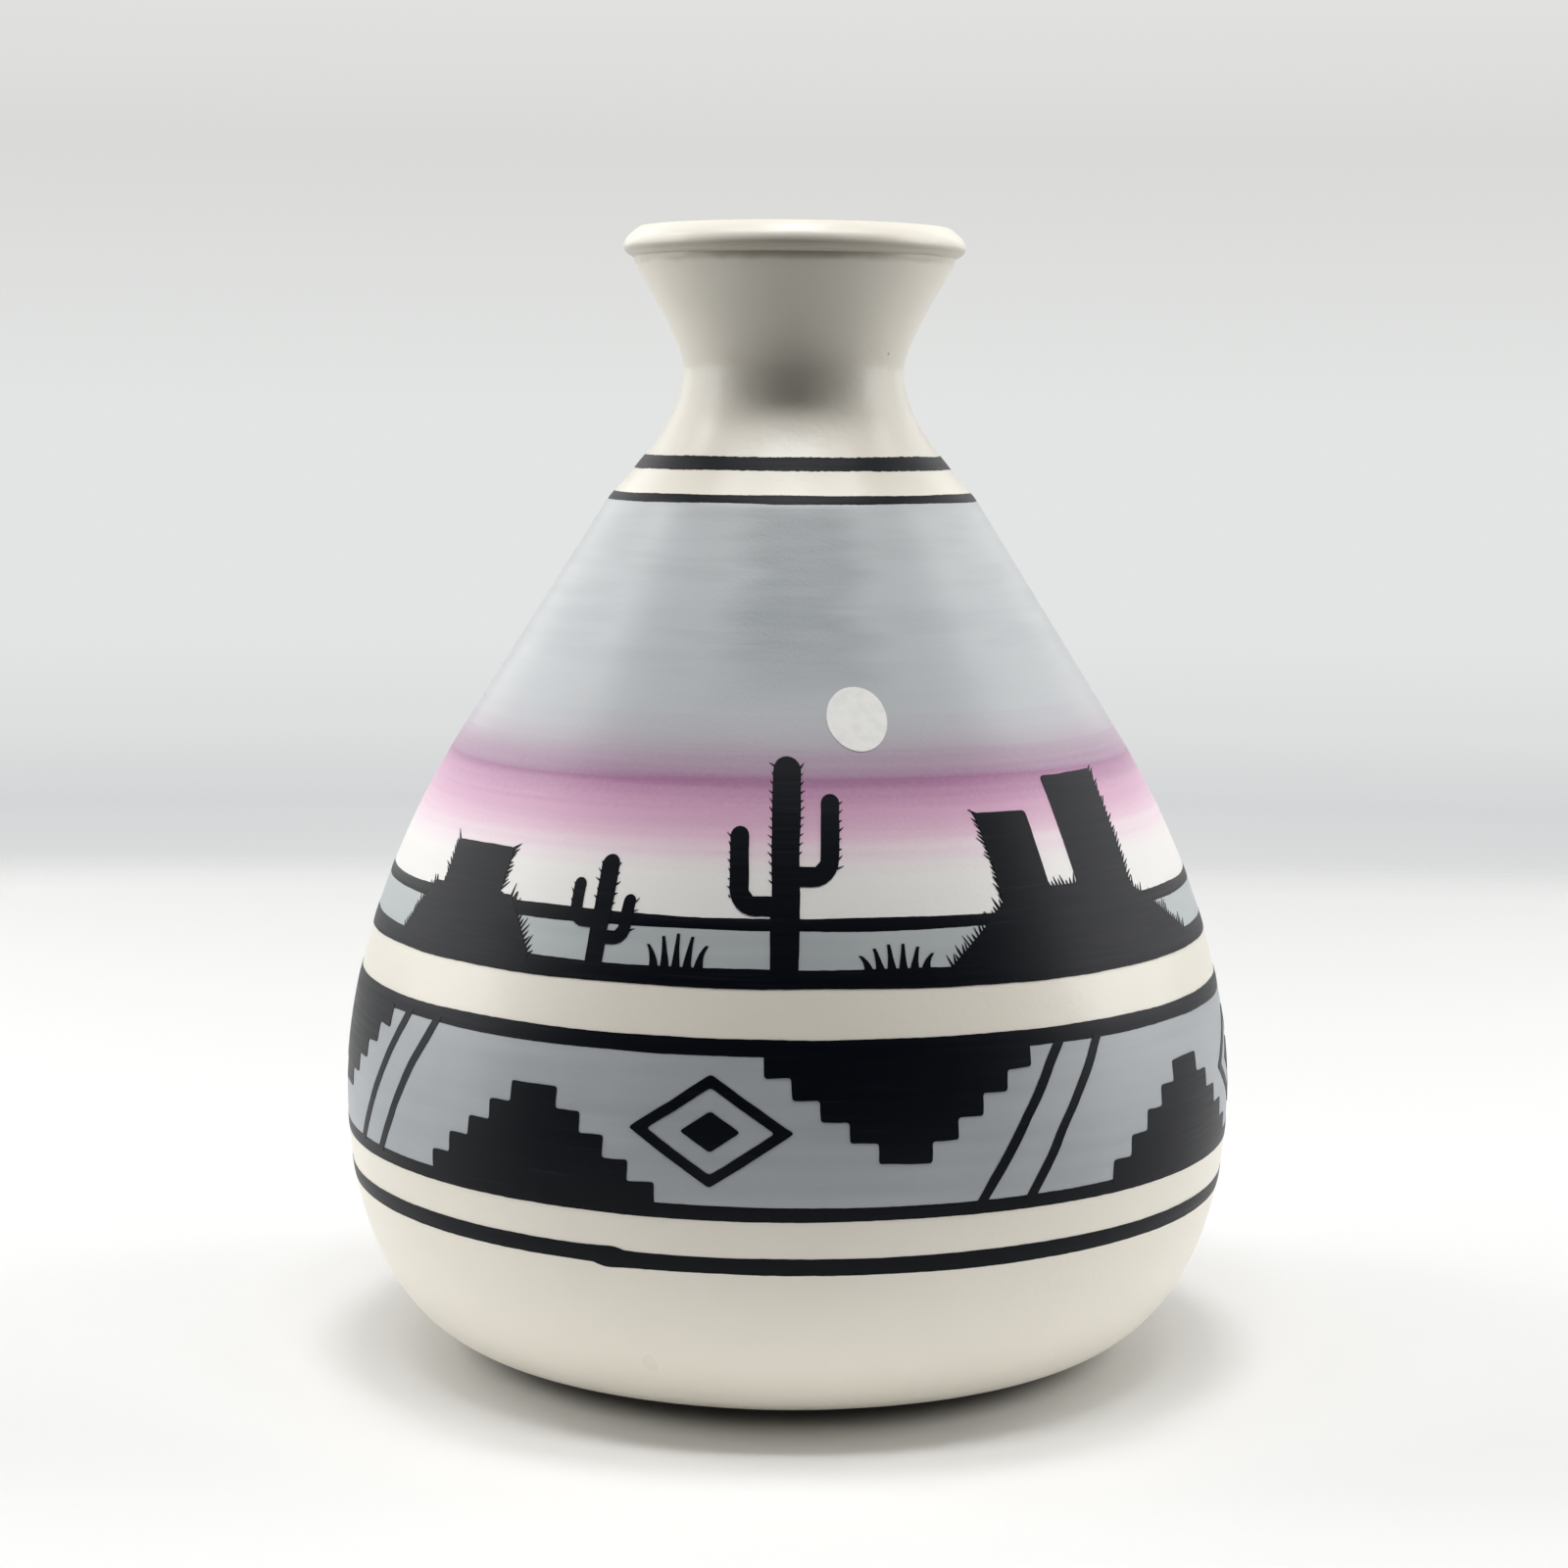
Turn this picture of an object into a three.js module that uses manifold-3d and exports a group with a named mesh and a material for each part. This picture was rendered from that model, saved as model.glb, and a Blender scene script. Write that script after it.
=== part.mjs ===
// A slip-cast pottery bud vase with airbrushed coats and black brushwork.
// Sizes are in millimetres. Z points up, the foot stands on z = 0 and the vase turns round the Z axis.
// Its front faces -Y. A place round the vase is a distance to the right of the front.

import * as THREE from "three";
import { mergeVertices } from "three/addons/utils/BufferGeometryUtils.js";
import Module from "manifold-3d";

// Clay: radii of the outline, from the foot to the lip
const FOOT_RADIUS = 33.4;
const DISH_RADIUS = 42.4;
const BELLY_RADIUS = 55.6;
const SHOULDER_RADIUS = 41.3;
const COLLAR_RADIUS = 23.4;
const WAIST_RADIUS = 13.7;
const FLARE_RADIUS = 20.3;
const LIP_RADIUS = 21.2;

// Clay: each station's height over the one below it
const DISH_RISE = 3.0;
const BELLY_RISE = 30.2;
const SHOULDER_RISE = 44.4;
const CONE_RISE = 28.4;
const NECK_RISE = 16.6;
const FLARE_RISE = 13.8;
const LIP_RISE = 1.3;
const CROWN_RISE = 2.3;

// Clay: wall and base
const WALL = 3.5;
const FOOT_RING_WIDTH = 5.0;
const FOOT_RECESS = 1.2;

// Clay: the lip is a rolled bead. Its underside springs from the flare almost level, for this share of its
// rise, and its crown is rounded down by a bevel.
const BEAD_UNDERSIDE = 0.3;
const CROWN_BEVEL = 0.7;

// How hard each end of a curve pulls, as a share of the distance between its two stations
const DISH_PULL = 0.17;
const UNDER_BELLY_PULL = 0.6;
const OVER_BELLY_PULL = 0.33;
const SHOULDER_PULL = 0.31;
const COLLAR_PULL = 0.17;
const WAIST_PULL = 0.36;
const FLARE_START_PULL = 0.2;
const FLARE_END_PULL = 0.3;

// Facets: one count of sides for everything that is turned, so that paint lies flat on the clay
const SIDES = 40;

// Paint: a coat is thinner on a real vase, about 0.1 mm
const PAINT_THICKNESS = 0.2;
const PAINT_GAP = 0.05;
const SEAM = 0.05;

// Painted bands, worked up from the widest line of the belly
const FRIEZE_DROP = 4.6;
const FRIEZE_HEIGHT = 20.1;
const FRIEZE_LOWER_STRIPE = 1.5;
const FRIEZE_UPPER_STRIPE = 1.7;
const LOWER_BARE_BAND = 4.1;
const BELLY_STRIPE = 2.0;
const UPPER_BARE_BAND = 5.5;
const GROUND_STRIPE = 1.9;
const GROUND_BAND = 4.1;
const HORIZON_STRIPE = 1.3;
const HAZE_HEIGHT = 7.6;
const DUSK_HEIGHT = 10.5;

// Collar stripes, worked up from the top of the cone
const COLLAR_LINE_RISE = 0.6;
const COLLAR_LOWER_STRIPE = 1.0;
const COLLAR_BARE_BAND = 2.9;
const COLLAR_UPPER_STRIPE = 1.6;

// Frieze motifs, drawn on a grid of columns and rows
const FRIEZE_REPEATS = 4;
const FRIEZE_COLUMNS = 28;
const FRIEZE_ROWS = 7;
const FRIEZE_START = -46;
const FRIEZE_STROKE = 1.2;
const TERRACE_STEPS = 5;
const LOW_TERRACE_COLUMN = 5;
const HANGING_TERRACE_COLUMN = 19;
const DIAMOND_COLUMN = 12;
const DIAMOND_HALF_COLUMNS = 3;
const DIAMOND_HALF_ROWS = 2.6;
const DIAMOND_HEART_SHARE = 0.36;
const SLANT_COLUMNS = [22, 24];
const SLANT_LEAN_COLUMNS = 3.4;

// Silhouettes that stand in a row on the ground stripe, from the left end of the scene round to the back.
// Each gap is the space between a silhouette and the one on its left.
const SCENE_LEFT = -57;
const LEFT_MESA = { gap: 0, base: 25, top: 11, height: 13, ledge: 8, ledgeWidth: 15 };
const SMALL_CACTUS = {
  gap: 5,
  height: 13.5,
  trunk: 2.2,
  arm: 1.5,
  bend: 2.0,
  left: { reach: 3.4, elbow: 6.2, tip: 10.0 },
  right: { reach: 3.2, elbow: 4.6, tip: 8.6 },
};
const LEFT_GRASS = { gap: 2.5, blades: 5, width: 6.5, height: 5.4 };
const TALL_CACTUS = {
  gap: 2.5,
  height: 24.5,
  trunk: 3.2,
  arm: 2.1,
  bend: 3.0,
  left: { reach: 5.2, elbow: 8.6, tip: 16.0 },
  right: { reach: 4.9, elbow: 11.8, tip: 19.6 },
};
const RIGHT_GRASS = { gap: 2.5, blades: 6, width: 8.0, height: 4.6 };
const TWIN_BUTTES = {
  gap: 2.5,
  base: 42,
  slope: 8.4,
  saddle: 9.6,
  leftTower: { from: -12.5, to: -5.5, height: 18.0 },
  rightTower: { from: -1.0, to: 9.0, height: 21.5 },
};
const BACK_MESA = { gap: 62, base: 34, top: 19, height: 10.5, ledge: 5.8, ledgeWidth: 24 };
const BACK_CACTUS = {
  gap: 10,
  height: 17,
  trunk: 2.6,
  arm: 1.7,
  bend: 2.4,
  left: { reach: 4.1, elbow: 7.0, tip: 12.2 },
  right: { reach: 4.1, elbow: 8.6, tip: 14.0 },
};
const SUN = { place: 10.5, rise: 28.5, diameter: 7.0 };

// A motif's outline runs this far below the layer that it is cut from, so its foot has a clean edge
const OVERRUN = 2.0;
// The silhouettes cover the ground stripe by this much
const SILHOUETTE_OVERLAP = 1.3;
// Grass blades: their tips' width, how far they lean out and how much lower the outer ones are
const BLADE_TIP = 0.35;
const BLADE_LEAN = 0.8;
const BLADE_DROP = 0.35;
// How far a motif's cutter reaches past the clay on each side, and how finely outlines are cut
const CUTTER_MARGIN = 1.5;
const SLANT_PIECE = 3.5;
const LEVEL_WITHIN = 1e-6;
const BEND_STEPS = 2;
const TIP_STEPS = 4;
const DISC_STEPS = 14;

// Colours and finishes
function finish(color, roughness) {
  return new THREE.MeshStandardMaterial({ color, roughness, metalness: 0 });
}
const creamClay = () => finish(0xe8e1d3, 0.42);
const blackPaint = () => finish(0x101318, 0.38);
const skyGreyPaint = () => finish(0xa4a9ac, 0.5);
const duskMauvePaint = () => finish(0xb184a0, 0.55);
const hazeWhitePaint = () => finish(0xe9e4e1, 0.55);
const groundGreyPaint = () => finish(0xa0a7a9, 0.5);
const friezeGreyPaint = () => finish(0x8c9299, 0.5);
const paleSunPaint = () => finish(0xeceae6, 0.5);

// Stations of the outline
const dishZ = DISH_RISE;
const bellyZ = dishZ + BELLY_RISE;
const shoulderZ = bellyZ + SHOULDER_RISE;
const collarZ = shoulderZ + CONE_RISE;
const waistZ = collarZ + NECK_RISE;
const flareZ = waistZ + FLARE_RISE;
const lipZ = flareZ + LIP_RISE;
const rimZ = lipZ + CROWN_RISE;

const foot = new THREE.Vector2(FOOT_RADIUS, 0);
const dish = new THREE.Vector2(DISH_RADIUS, dishZ);
const belly = new THREE.Vector2(BELLY_RADIUS, bellyZ);
const shoulder = new THREE.Vector2(SHOULDER_RADIUS, shoulderZ);
const collar = new THREE.Vector2(COLLAR_RADIUS, collarZ);
const waist = new THREE.Vector2(WAIST_RADIUS, waistZ);
const flare = new THREE.Vector2(FLARE_RADIUS, flareZ);
const lip = new THREE.Vector2(LIP_RADIUS, lipZ);

// Directions in which the outline passes its stations
const upright = new THREE.Vector2(0, 1);
const dishSlope = dish.clone().sub(foot).normalize();
const coneSlope = collar.clone().sub(shoulder).normalize();
const flareRun = flare.clone().sub(waist).normalize();
const lipRun = lip.clone().sub(flare).normalize();
const flareSlope = flareRun.add(lipRun).normalize();

// A curve from one station to the next that leaves and arrives along the given directions
function easedCurve(from, fromSlope, fromPull, to, toSlope, toPull) {
  const span = from.distanceTo(to);
  return new THREE.CubicBezierCurve(
    from,
    from.clone().addScaledVector(fromSlope, fromPull * span),
    to.clone().addScaledVector(toSlope, -toPull * span),
    to,
  );
}

// The outline from the foot to the flare, with its steps on the outside and in the hollow
const outlineRuns = [
  { curve: new THREE.LineCurve(foot, dish), outer: 1, inner: 1 },
  {
    curve: easedCurve(dish, dishSlope, DISH_PULL, belly, upright, UNDER_BELLY_PULL),
    outer: 6,
    inner: 4,
  },
  {
    curve: easedCurve(belly, upright, OVER_BELLY_PULL, shoulder, coneSlope, SHOULDER_PULL),
    outer: 6,
    inner: 4,
  },
  { curve: new THREE.LineCurve(shoulder, collar), outer: 1, inner: 1 },
  {
    curve: easedCurve(collar, coneSlope, COLLAR_PULL, waist, upright, WAIST_PULL),
    outer: 5,
    inner: 3,
  },
  {
    curve: easedCurve(waist, upright, FLARE_START_PULL, flare, flareSlope, FLARE_END_PULL),
    outer: 4,
    inner: 3,
  },
];

// Points of the outline, moved sideways by a distance: outwards for paint, inwards for the hollow
function offsetOutline(distance, side) {
  const points = [];
  for (const run of outlineRuns) {
    const steps = run[side];
    const first = points.length === 0 ? 0 : 1;
    for (let i = first; i <= steps; i++) {
      const slope = run.curve.getTangent(i / steps);
      const outwards = new THREE.Vector2(slope.y, -slope.x);
      points.push(run.curve.getPoint(i / steps).addScaledVector(outwards, distance));
    }
  }
  return points;
}

// The point of a rising line at a given height
function pointAtHeight(points, z) {
  const next = points.findIndex((p) => p.y > z);
  const a = points[next - 1];
  const b = points[next];
  return a.clone().lerp(b, (z - a.y) / (b.y - a.y));
}

// The stretch of a rising line between two heights, with its two ends cut level
function between(points, low, high) {
  const inside = points.filter((p) => p.y > low && p.y < high);
  return [pointAtHeight(points, low), ...inside, pointAtHeight(points, high)];
}

const clayOutline = offsetOutline(0, "outer");
const clayRadius = (z) => pointAtHeight(clayOutline, z).x;

// A solid turned round the Z axis from a profile of radius and height
function turned(profile) {
  return new THREE.LatheGeometry(profile, SIDES).rotateX(Math.PI / 2);
}

// The clay: outside from the recess in the base up to the lip, over its crown and down the hollow
function clayProfile() {
  const recessRadius = FOOT_RADIUS - FOOT_RING_WIDTH;
  const floorZ = FOOT_RECESS + WALL;
  const inset = offsetOutline(-WALL, "inner");
  const hollow = [pointAtHeight(inset, floorZ), ...inset.filter((point) => point.y > floorZ)];
  const mouth = hollow[hollow.length - 1];

  const crownTop = new THREE.Vector2((LIP_RADIUS + mouth.x) / 2, rimZ);
  const outerCorner = new THREE.Vector2(LIP_RADIUS, rimZ - CROWN_BEVEL);
  const innerCorner = new THREE.Vector2(mouth.x, rimZ - CROWN_BEVEL);
  const underBead = new THREE.Vector2(LIP_RADIUS, flareZ + BEAD_UNDERSIDE * LIP_RISE);
  const lipEdge = new THREE.QuadraticBezierCurve(flare, underBead, lip);
  const outerCrown = new THREE.QuadraticBezierCurve(lip, outerCorner, crownTop);
  const innerCrown = new THREE.QuadraticBezierCurve(crownTop, innerCorner, mouth);

  return [
    new THREE.Vector2(0, FOOT_RECESS),
    new THREE.Vector2(recessRadius - FOOT_RECESS, FOOT_RECESS),
    new THREE.Vector2(recessRadius, 0),
    ...clayOutline,
    ...lipEdge.getPoints(2).slice(1),
    ...outerCrown.getPoints(2).slice(1),
    ...innerCrown.getPoints(2).slice(1, -1),
    ...hollow.reverse(),
    new THREE.Vector2(0, floorZ),
  ];
}

// Heights of the painted bands
const friezeLow = bellyZ - FRIEZE_DROP;
const friezeHigh = friezeLow + FRIEZE_HEIGHT;
const friezeCoatLow = friezeLow + FRIEZE_LOWER_STRIPE;
const friezeCoatHigh = friezeHigh - FRIEZE_UPPER_STRIPE;
const bellyStripeHigh = friezeLow - LOWER_BARE_BAND;
const groundLow = friezeHigh + UPPER_BARE_BAND;
const groundCoatLow = groundLow + GROUND_STRIPE;
const horizonLow = groundCoatLow + GROUND_BAND;
const hazeLow = horizonLow + HORIZON_STRIPE;
const duskLow = hazeLow + HAZE_HEIGHT;
const skyLow = duskLow + DUSK_HEIGHT;
const collarLineLow = collarZ + COLLAR_LINE_RISE;
const collarLineHigh = collarLineLow + COLLAR_LOWER_STRIPE;
const collarBandLow = collarLineHigh + COLLAR_BARE_BAND;

// Paint lies in layers on the clay: coats and stripes in the first one, motifs in the second
function paintLayer(low, high, layer) {
  const lift = PAINT_GAP + (layer - 1) * (PAINT_THICKNESS + PAINT_GAP);
  const underside = between(offsetOutline(lift, "outer"), low, high);
  const topside = between(offsetOutline(lift + PAINT_THICKNESS, "outer"), low, high);
  return turned([...topside, ...underside.reverse(), topside[0].clone()]);
}

// A stripe fills its height; a coat keeps a seam to the stripes or coats over and under it
const stripe = (low, width) => paintLayer(low, low + width, 1);
const coat = (low, high) => paintLayer(low + SEAM, high - SEAM, 1);

// Solids for cutting
const wasm = await Module();
wasm.setup();

function solidFrom(geometry) {
  const bare = geometry.clone();
  bare.deleteAttribute("normal");
  bare.deleteAttribute("uv");
  const merged = mergeVertices(bare);
  const mesh = new wasm.Mesh({
    numProp: 3,
    vertProperties: new Float32Array(merged.attributes.position.array),
    triVerts: new Uint32Array(merged.index.array),
  });
  return new wasm.Manifold(mesh);
}

function geometryFrom(solid) {
  const mesh = solid.getMesh();
  const geometry = new THREE.BufferGeometry();
  geometry.setAttribute("position", new THREE.BufferAttribute(mesh.vertProperties, 3));
  geometry.setIndex(new THREE.BufferAttribute(mesh.triVerts, 1));
  return geometry;
}

// Level and upright sides of an outline bend cleanly; a slanting one is first cut into short pieces
function withShortSlants(points) {
  return points.flatMap((a, i) => {
    const b = points[(i + 1) % points.length];
    const across = Math.abs(b.x - a.x);
    const level = Math.abs(b.y - a.y) < LEVEL_WITHIN;
    const pieces = level ? 1 : Math.max(1, Math.ceil(across / SLANT_PIECE));
    return Array.from({ length: pieces }, (_, k) => a.clone().lerp(b, k / pieces));
  });
}

// Wraps a flat outline round the vase and cuts that shape out of a layer of paint.
// The outline's x is a distance round the vase, counted from the motif's middle, and its y is a height.
// The cutter follows the clay at a distance inside and outside it, so only its side walls cut.
// Its outer face is flat between the ends of the outline, so it stands off by what that takes away.
function cutMotif(layer, outline, middle) {
  const { shape: edge, holes } = outline.extractPoints();
  const wrapped = new THREE.Shape(withShortSlants(edge));
  wrapped.holes = holes.map((hole) => new THREE.Path(withShortSlants(hole)));
  const halfAngle = Math.max(...edge.map((p) => Math.abs(p.x) / clayRadius(p.y)));
  const flattening = BELLY_RADIUS * (1 / Math.cos(halfAngle) - 1);
  const cutter = new THREE.ExtrudeGeometry(wrapped, {
    depth: 2 * CUTTER_MARGIN + flattening,
    bevelEnabled: false,
  });
  const position = cutter.attributes.position;
  for (let i = 0; i < position.count; i++) {
    const z = position.getY(i);
    const azimuth = middle + position.getX(i) / clayRadius(z);
    const radius = clayRadius(z) - CUTTER_MARGIN + position.getZ(i);
    position.setXYZ(i, radius * Math.sin(azimuth), -radius * Math.cos(azimuth), z);
  }
  return geometryFrom(layer.intersect(solidFrom(cutter)));
}

function closedShape(points) {
  return new THREE.Shape(points.map(([x, y]) => new THREE.Vector2(x, y)));
}

// Points along a round stretch of an outline, both ends included
function arcPoints([x, y], radius, fromAngle, toAngle, steps) {
  return Array.from({ length: steps + 1 }, (_, i) => {
    const angle = fromAngle + ((toAngle - fromAngle) * i) / steps;
    return [x + radius * Math.cos(angle), y + radius * Math.sin(angle)];
  });
}

// A stepped pyramid, one column in and one row up at each step, standing up or hanging down
function terraceShape(edge, column, row, overrun) {
  const left = [];
  for (let step = 0; step < TERRACE_STEPS; step++) {
    const x = -(TERRACE_STEPS - step) * column;
    const from = step === 0 ? edge - overrun : edge + step * row;
    left.push([x, from], [x, edge + (step + 1) * row]);
  }
  const right = left.map(([x, y]) => [-x, y]).reverse();
  return closedShape([...left, ...right]);
}

function diamondShape(middle, halfWidth, halfHeight) {
  return closedShape([
    [-halfWidth, middle],
    [0, middle - halfHeight],
    [halfWidth, middle],
    [0, middle + halfHeight],
  ]);
}

// A diamond drawn as a line, with the line's width kept square to its sides
function diamondLineShape(middle, halfWidth, halfHeight, stroke) {
  const shape = diamondShape(middle, halfWidth, halfHeight);
  const side = Math.hypot(halfWidth, halfHeight);
  const inset = (stroke * side) / (halfWidth * halfHeight);
  shape.holes.push(diamondShape(middle, halfWidth * (1 - inset), halfHeight * (1 - inset)));
  return shape;
}

// A straight brush stroke that leans to the right
function slantShape(low, high, lean, stroke) {
  const half = (stroke / 2) * (Math.hypot(lean, high - low) / (high - low));
  return closedShape([
    [-half, low],
    [half, low],
    [lean + half, high],
    [lean - half, high],
  ]);
}

// A flat-topped hill with a sloping foot and one ledge on the way up
function mesaShape(mesa) {
  const ledgeZ = groundLow + mesa.ledge;
  const topZ = groundLow + mesa.height;
  const right = [
    [mesa.base / 2, groundLow - OVERRUN],
    [mesa.base / 2, groundLow + GROUND_STRIPE],
    [mesa.ledgeWidth / 2, ledgeZ],
    [mesa.top / 2, ledgeZ],
    [mesa.top / 2, topZ],
  ];
  const left = right.map(([x, y]) => [-x, y]).reverse();
  return closedShape([...right, ...left]);
}

// Two rock towers on one sloping foot
function buttesShape(buttes) {
  const low = groundLow - OVERRUN;
  const footZ = groundLow + GROUND_STRIPE;
  const slopeZ = groundLow + buttes.slope;
  const saddleZ = groundLow + buttes.saddle;
  const { leftTower, rightTower } = buttes;
  return closedShape([
    [-buttes.base / 2, low],
    [buttes.base / 2, low],
    [buttes.base / 2, footZ],
    [rightTower.to, slopeZ],
    [rightTower.to, groundLow + rightTower.height],
    [rightTower.from, groundLow + rightTower.height],
    [rightTower.from, saddleZ],
    [leftTower.to, saddleZ],
    [leftTower.to, groundLow + leftTower.height],
    [leftTower.from, groundLow + leftTower.height],
    [leftTower.from, slopeZ],
    [-buttes.base / 2, footZ],
  ]);
}

// One bent arm of a cactus on its left side, from under the elbow round the tip to over the elbow
function cactusArm(trunk, arm, bend, reach, elbow, tip) {
  const under = groundLow + elbow - arm;
  const over = groundLow + elbow + arm;
  const bendCentre = [bend - reach - arm, under + bend];
  return [
    [-trunk, under],
    ...arcPoints(bendCentre, bend, -Math.PI / 2, -Math.PI, BEND_STEPS),
    ...arcPoints([-reach, groundLow + tip], arm, Math.PI, 0, TIP_STEPS),
    [arm - reach, over],
    [-trunk, over],
  ];
}

// A column cactus with a round top and one bent arm on each side
function cactusShape(cactus) {
  const trunk = cactus.trunk / 2;
  const arm = cactus.arm / 2;
  const low = groundLow - OVERRUN;
  const top = [0, groundLow + cactus.height - trunk];
  const [left, right] = [cactus.left, cactus.right].map(({ reach, elbow, tip }) =>
    cactusArm(trunk, arm, cactus.bend, reach, elbow, tip),
  );
  return closedShape([
    [-trunk, low],
    ...left,
    ...arcPoints(top, trunk, Math.PI, 0, TIP_STEPS),
    ...right.map(([x, y]) => [-x, y]).reverse(),
    [trunk, low],
  ]);
}

// A tuft of grass: blades that fan out from a common root
function grassShape(clump) {
  const step = clump.width / clump.blades;
  const rootZ = groundLow + GROUND_STRIPE;
  const points = [[-clump.width / 2, groundLow - OVERRUN]];
  for (let blade = 0; blade < clump.blades; blade++) {
    const root = -clump.width / 2 + blade * step;
    const middle = root + step / 2;
    const fan = (2 * middle) / clump.width;
    const tip = middle + BLADE_LEAN * fan * step;
    const tipZ = groundLow + clump.height * (1 - BLADE_DROP * fan * fan);
    points.push([root, rootZ], [tip - BLADE_TIP / 2, tipZ], [tip + BLADE_TIP / 2, tipZ]);
  }
  points.push([clump.width / 2, rootZ], [clump.width / 2, groundLow - OVERRUN]);
  return closedShape(points.reverse());
}

function discShape(middle, diameter) {
  return closedShape(arcPoints([0, middle], diameter / 2, 0, 2 * Math.PI, DISC_STEPS).slice(1));
}

// The whole vase
const vase = new THREE.Group();
vase.name = "painted_pottery_vase";

function addPiece(name, geometry, material) {
  const piece = new THREE.Mesh(geometry, material);
  piece.name = name;
  vase.add(piece);
}

addPiece("clay_body", turned(clayProfile()), creamClay());

addPiece("belly_stripe", stripe(bellyStripeHigh - BELLY_STRIPE, BELLY_STRIPE), blackPaint());
addPiece("frieze_lower_stripe", stripe(friezeLow, FRIEZE_LOWER_STRIPE), blackPaint());
addPiece("frieze_grey_coat", coat(friezeCoatLow, friezeCoatHigh), friezeGreyPaint());
addPiece("frieze_upper_stripe", stripe(friezeCoatHigh, FRIEZE_UPPER_STRIPE), blackPaint());
addPiece("ground_stripe", stripe(groundLow, GROUND_STRIPE), blackPaint());
addPiece("ground_grey_coat", coat(groundCoatLow, horizonLow), groundGreyPaint());
addPiece("horizon_stripe", stripe(horizonLow, HORIZON_STRIPE), blackPaint());
addPiece("haze_white_coat", coat(hazeLow, duskLow), hazeWhitePaint());
addPiece("dusk_mauve_coat", coat(duskLow, skyLow), duskMauvePaint());
addPiece("sky_grey_coat", coat(skyLow, collarLineLow), skyGreyPaint());
addPiece("collar_lower_stripe", stripe(collarLineLow, COLLAR_LOWER_STRIPE), blackPaint());
addPiece("collar_upper_stripe", stripe(collarBandLow, COLLAR_UPPER_STRIPE), blackPaint());

// Silhouettes, cut from one layer of black that starts inside the ground stripe
const sceneLayer = solidFrom(paintLayer(groundCoatLow - SILHOUETTE_OVERLAP, collarLineLow, 2));
const silhouettes = [
  { name: "left_mesa", gap: LEFT_MESA.gap, shape: mesaShape(LEFT_MESA) },
  { name: "small_cactus", gap: SMALL_CACTUS.gap, shape: cactusShape(SMALL_CACTUS) },
  { name: "left_grass_clump", gap: LEFT_GRASS.gap, shape: grassShape(LEFT_GRASS) },
  { name: "tall_cactus", gap: TALL_CACTUS.gap, shape: cactusShape(TALL_CACTUS) },
  { name: "right_grass_clump", gap: RIGHT_GRASS.gap, shape: grassShape(RIGHT_GRASS) },
  { name: "twin_buttes", gap: TWIN_BUTTES.gap, shape: buttesShape(TWIN_BUTTES) },
  { name: "back_mesa", gap: BACK_MESA.gap, shape: mesaShape(BACK_MESA) },
  { name: "back_cactus", gap: BACK_CACTUS.gap, shape: cactusShape(BACK_CACTUS) },
];
const groundRadius = clayRadius(groundLow);
let reached = SCENE_LEFT;
for (const { name, gap, shape } of silhouettes) {
  const across = shape.getPoints().map((point) => point.x);
  const place = reached + gap - Math.min(...across);
  reached = place + Math.max(...across);
  addPiece(name, cutMotif(sceneLayer, shape, place / groundRadius), blackPaint());
}
const sunShape = discShape(groundLow + SUN.rise, SUN.diameter);
addPiece("pale_sun", cutMotif(sceneLayer, sunShape, SUN.place / groundRadius), paleSunPaint());

// Frieze motifs, cut from one layer of black that fills the grey band
const friezeLayer = solidFrom(paintLayer(friezeCoatLow, friezeCoatHigh, 2));
const friezeRepeat = (2 * Math.PI * BELLY_RADIUS) / FRIEZE_REPEATS;
const column = friezeRepeat / FRIEZE_COLUMNS;
const row = (friezeCoatHigh - friezeCoatLow) / FRIEZE_ROWS;
const friezeMiddle = (friezeCoatLow + friezeCoatHigh) / 2;
const diamondWidth = DIAMOND_HALF_COLUMNS * column;
const diamondHeight = DIAMOND_HALF_ROWS * row;
const slant = slantShape(
  friezeCoatLow - OVERRUN, friezeCoatHigh + OVERRUN, SLANT_LEAN_COLUMNS * column, FRIEZE_STROKE,
);

const friezeMotifs = [
  {
    name: "frieze_low_terrace",
    shape: terraceShape(friezeCoatLow, column, row, OVERRUN),
    column: LOW_TERRACE_COLUMN,
  },
  {
    name: "frieze_hanging_terrace",
    shape: terraceShape(friezeCoatHigh, column, -row, -OVERRUN),
    column: HANGING_TERRACE_COLUMN,
  },
  {
    name: "frieze_diamond",
    shape: diamondLineShape(friezeMiddle, diamondWidth, diamondHeight, FRIEZE_STROKE),
    column: DIAMOND_COLUMN,
  },
  {
    name: "frieze_diamond_heart",
    shape: diamondShape(
      friezeMiddle, diamondWidth * DIAMOND_HEART_SHARE, diamondHeight * DIAMOND_HEART_SHARE,
    ),
    column: DIAMOND_COLUMN,
  },
  { name: "frieze_left_slant", shape: slant, column: SLANT_COLUMNS[0] },
  { name: "frieze_right_slant", shape: slant, column: SLANT_COLUMNS[1] },
];
for (let repeat = 0; repeat < FRIEZE_REPEATS; repeat++) {
  for (const motif of friezeMotifs) {
    const place = FRIEZE_START + repeat * friezeRepeat + motif.column * column;
    const cut = cutMotif(friezeLayer, motif.shape, place / BELLY_RADIUS);
    addPiece(`${motif.name}_${repeat + 1}`, cut, blackPaint());
  }
}

export default vase;
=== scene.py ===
# %% [markdown]
# # A hand-painted pottery bud vase
# The real vase is one hollow piece of slip-cast clay: a round belly, a cone-shaped shoulder, a narrow neck
# and a flared mouth. It was fired, sprayed with soft bands of colour, lined in black on a turntable and
# finished with small motifs by brush. This lesson makes it in the same order: clay, sprayed coats, turned
# lines, brushed motifs, then the light and the camera.

import math

import bpy
import numpy as np
from mathutils import Matrix, Vector
from mathutils.geometry import delaunay_2d_cdt


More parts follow.
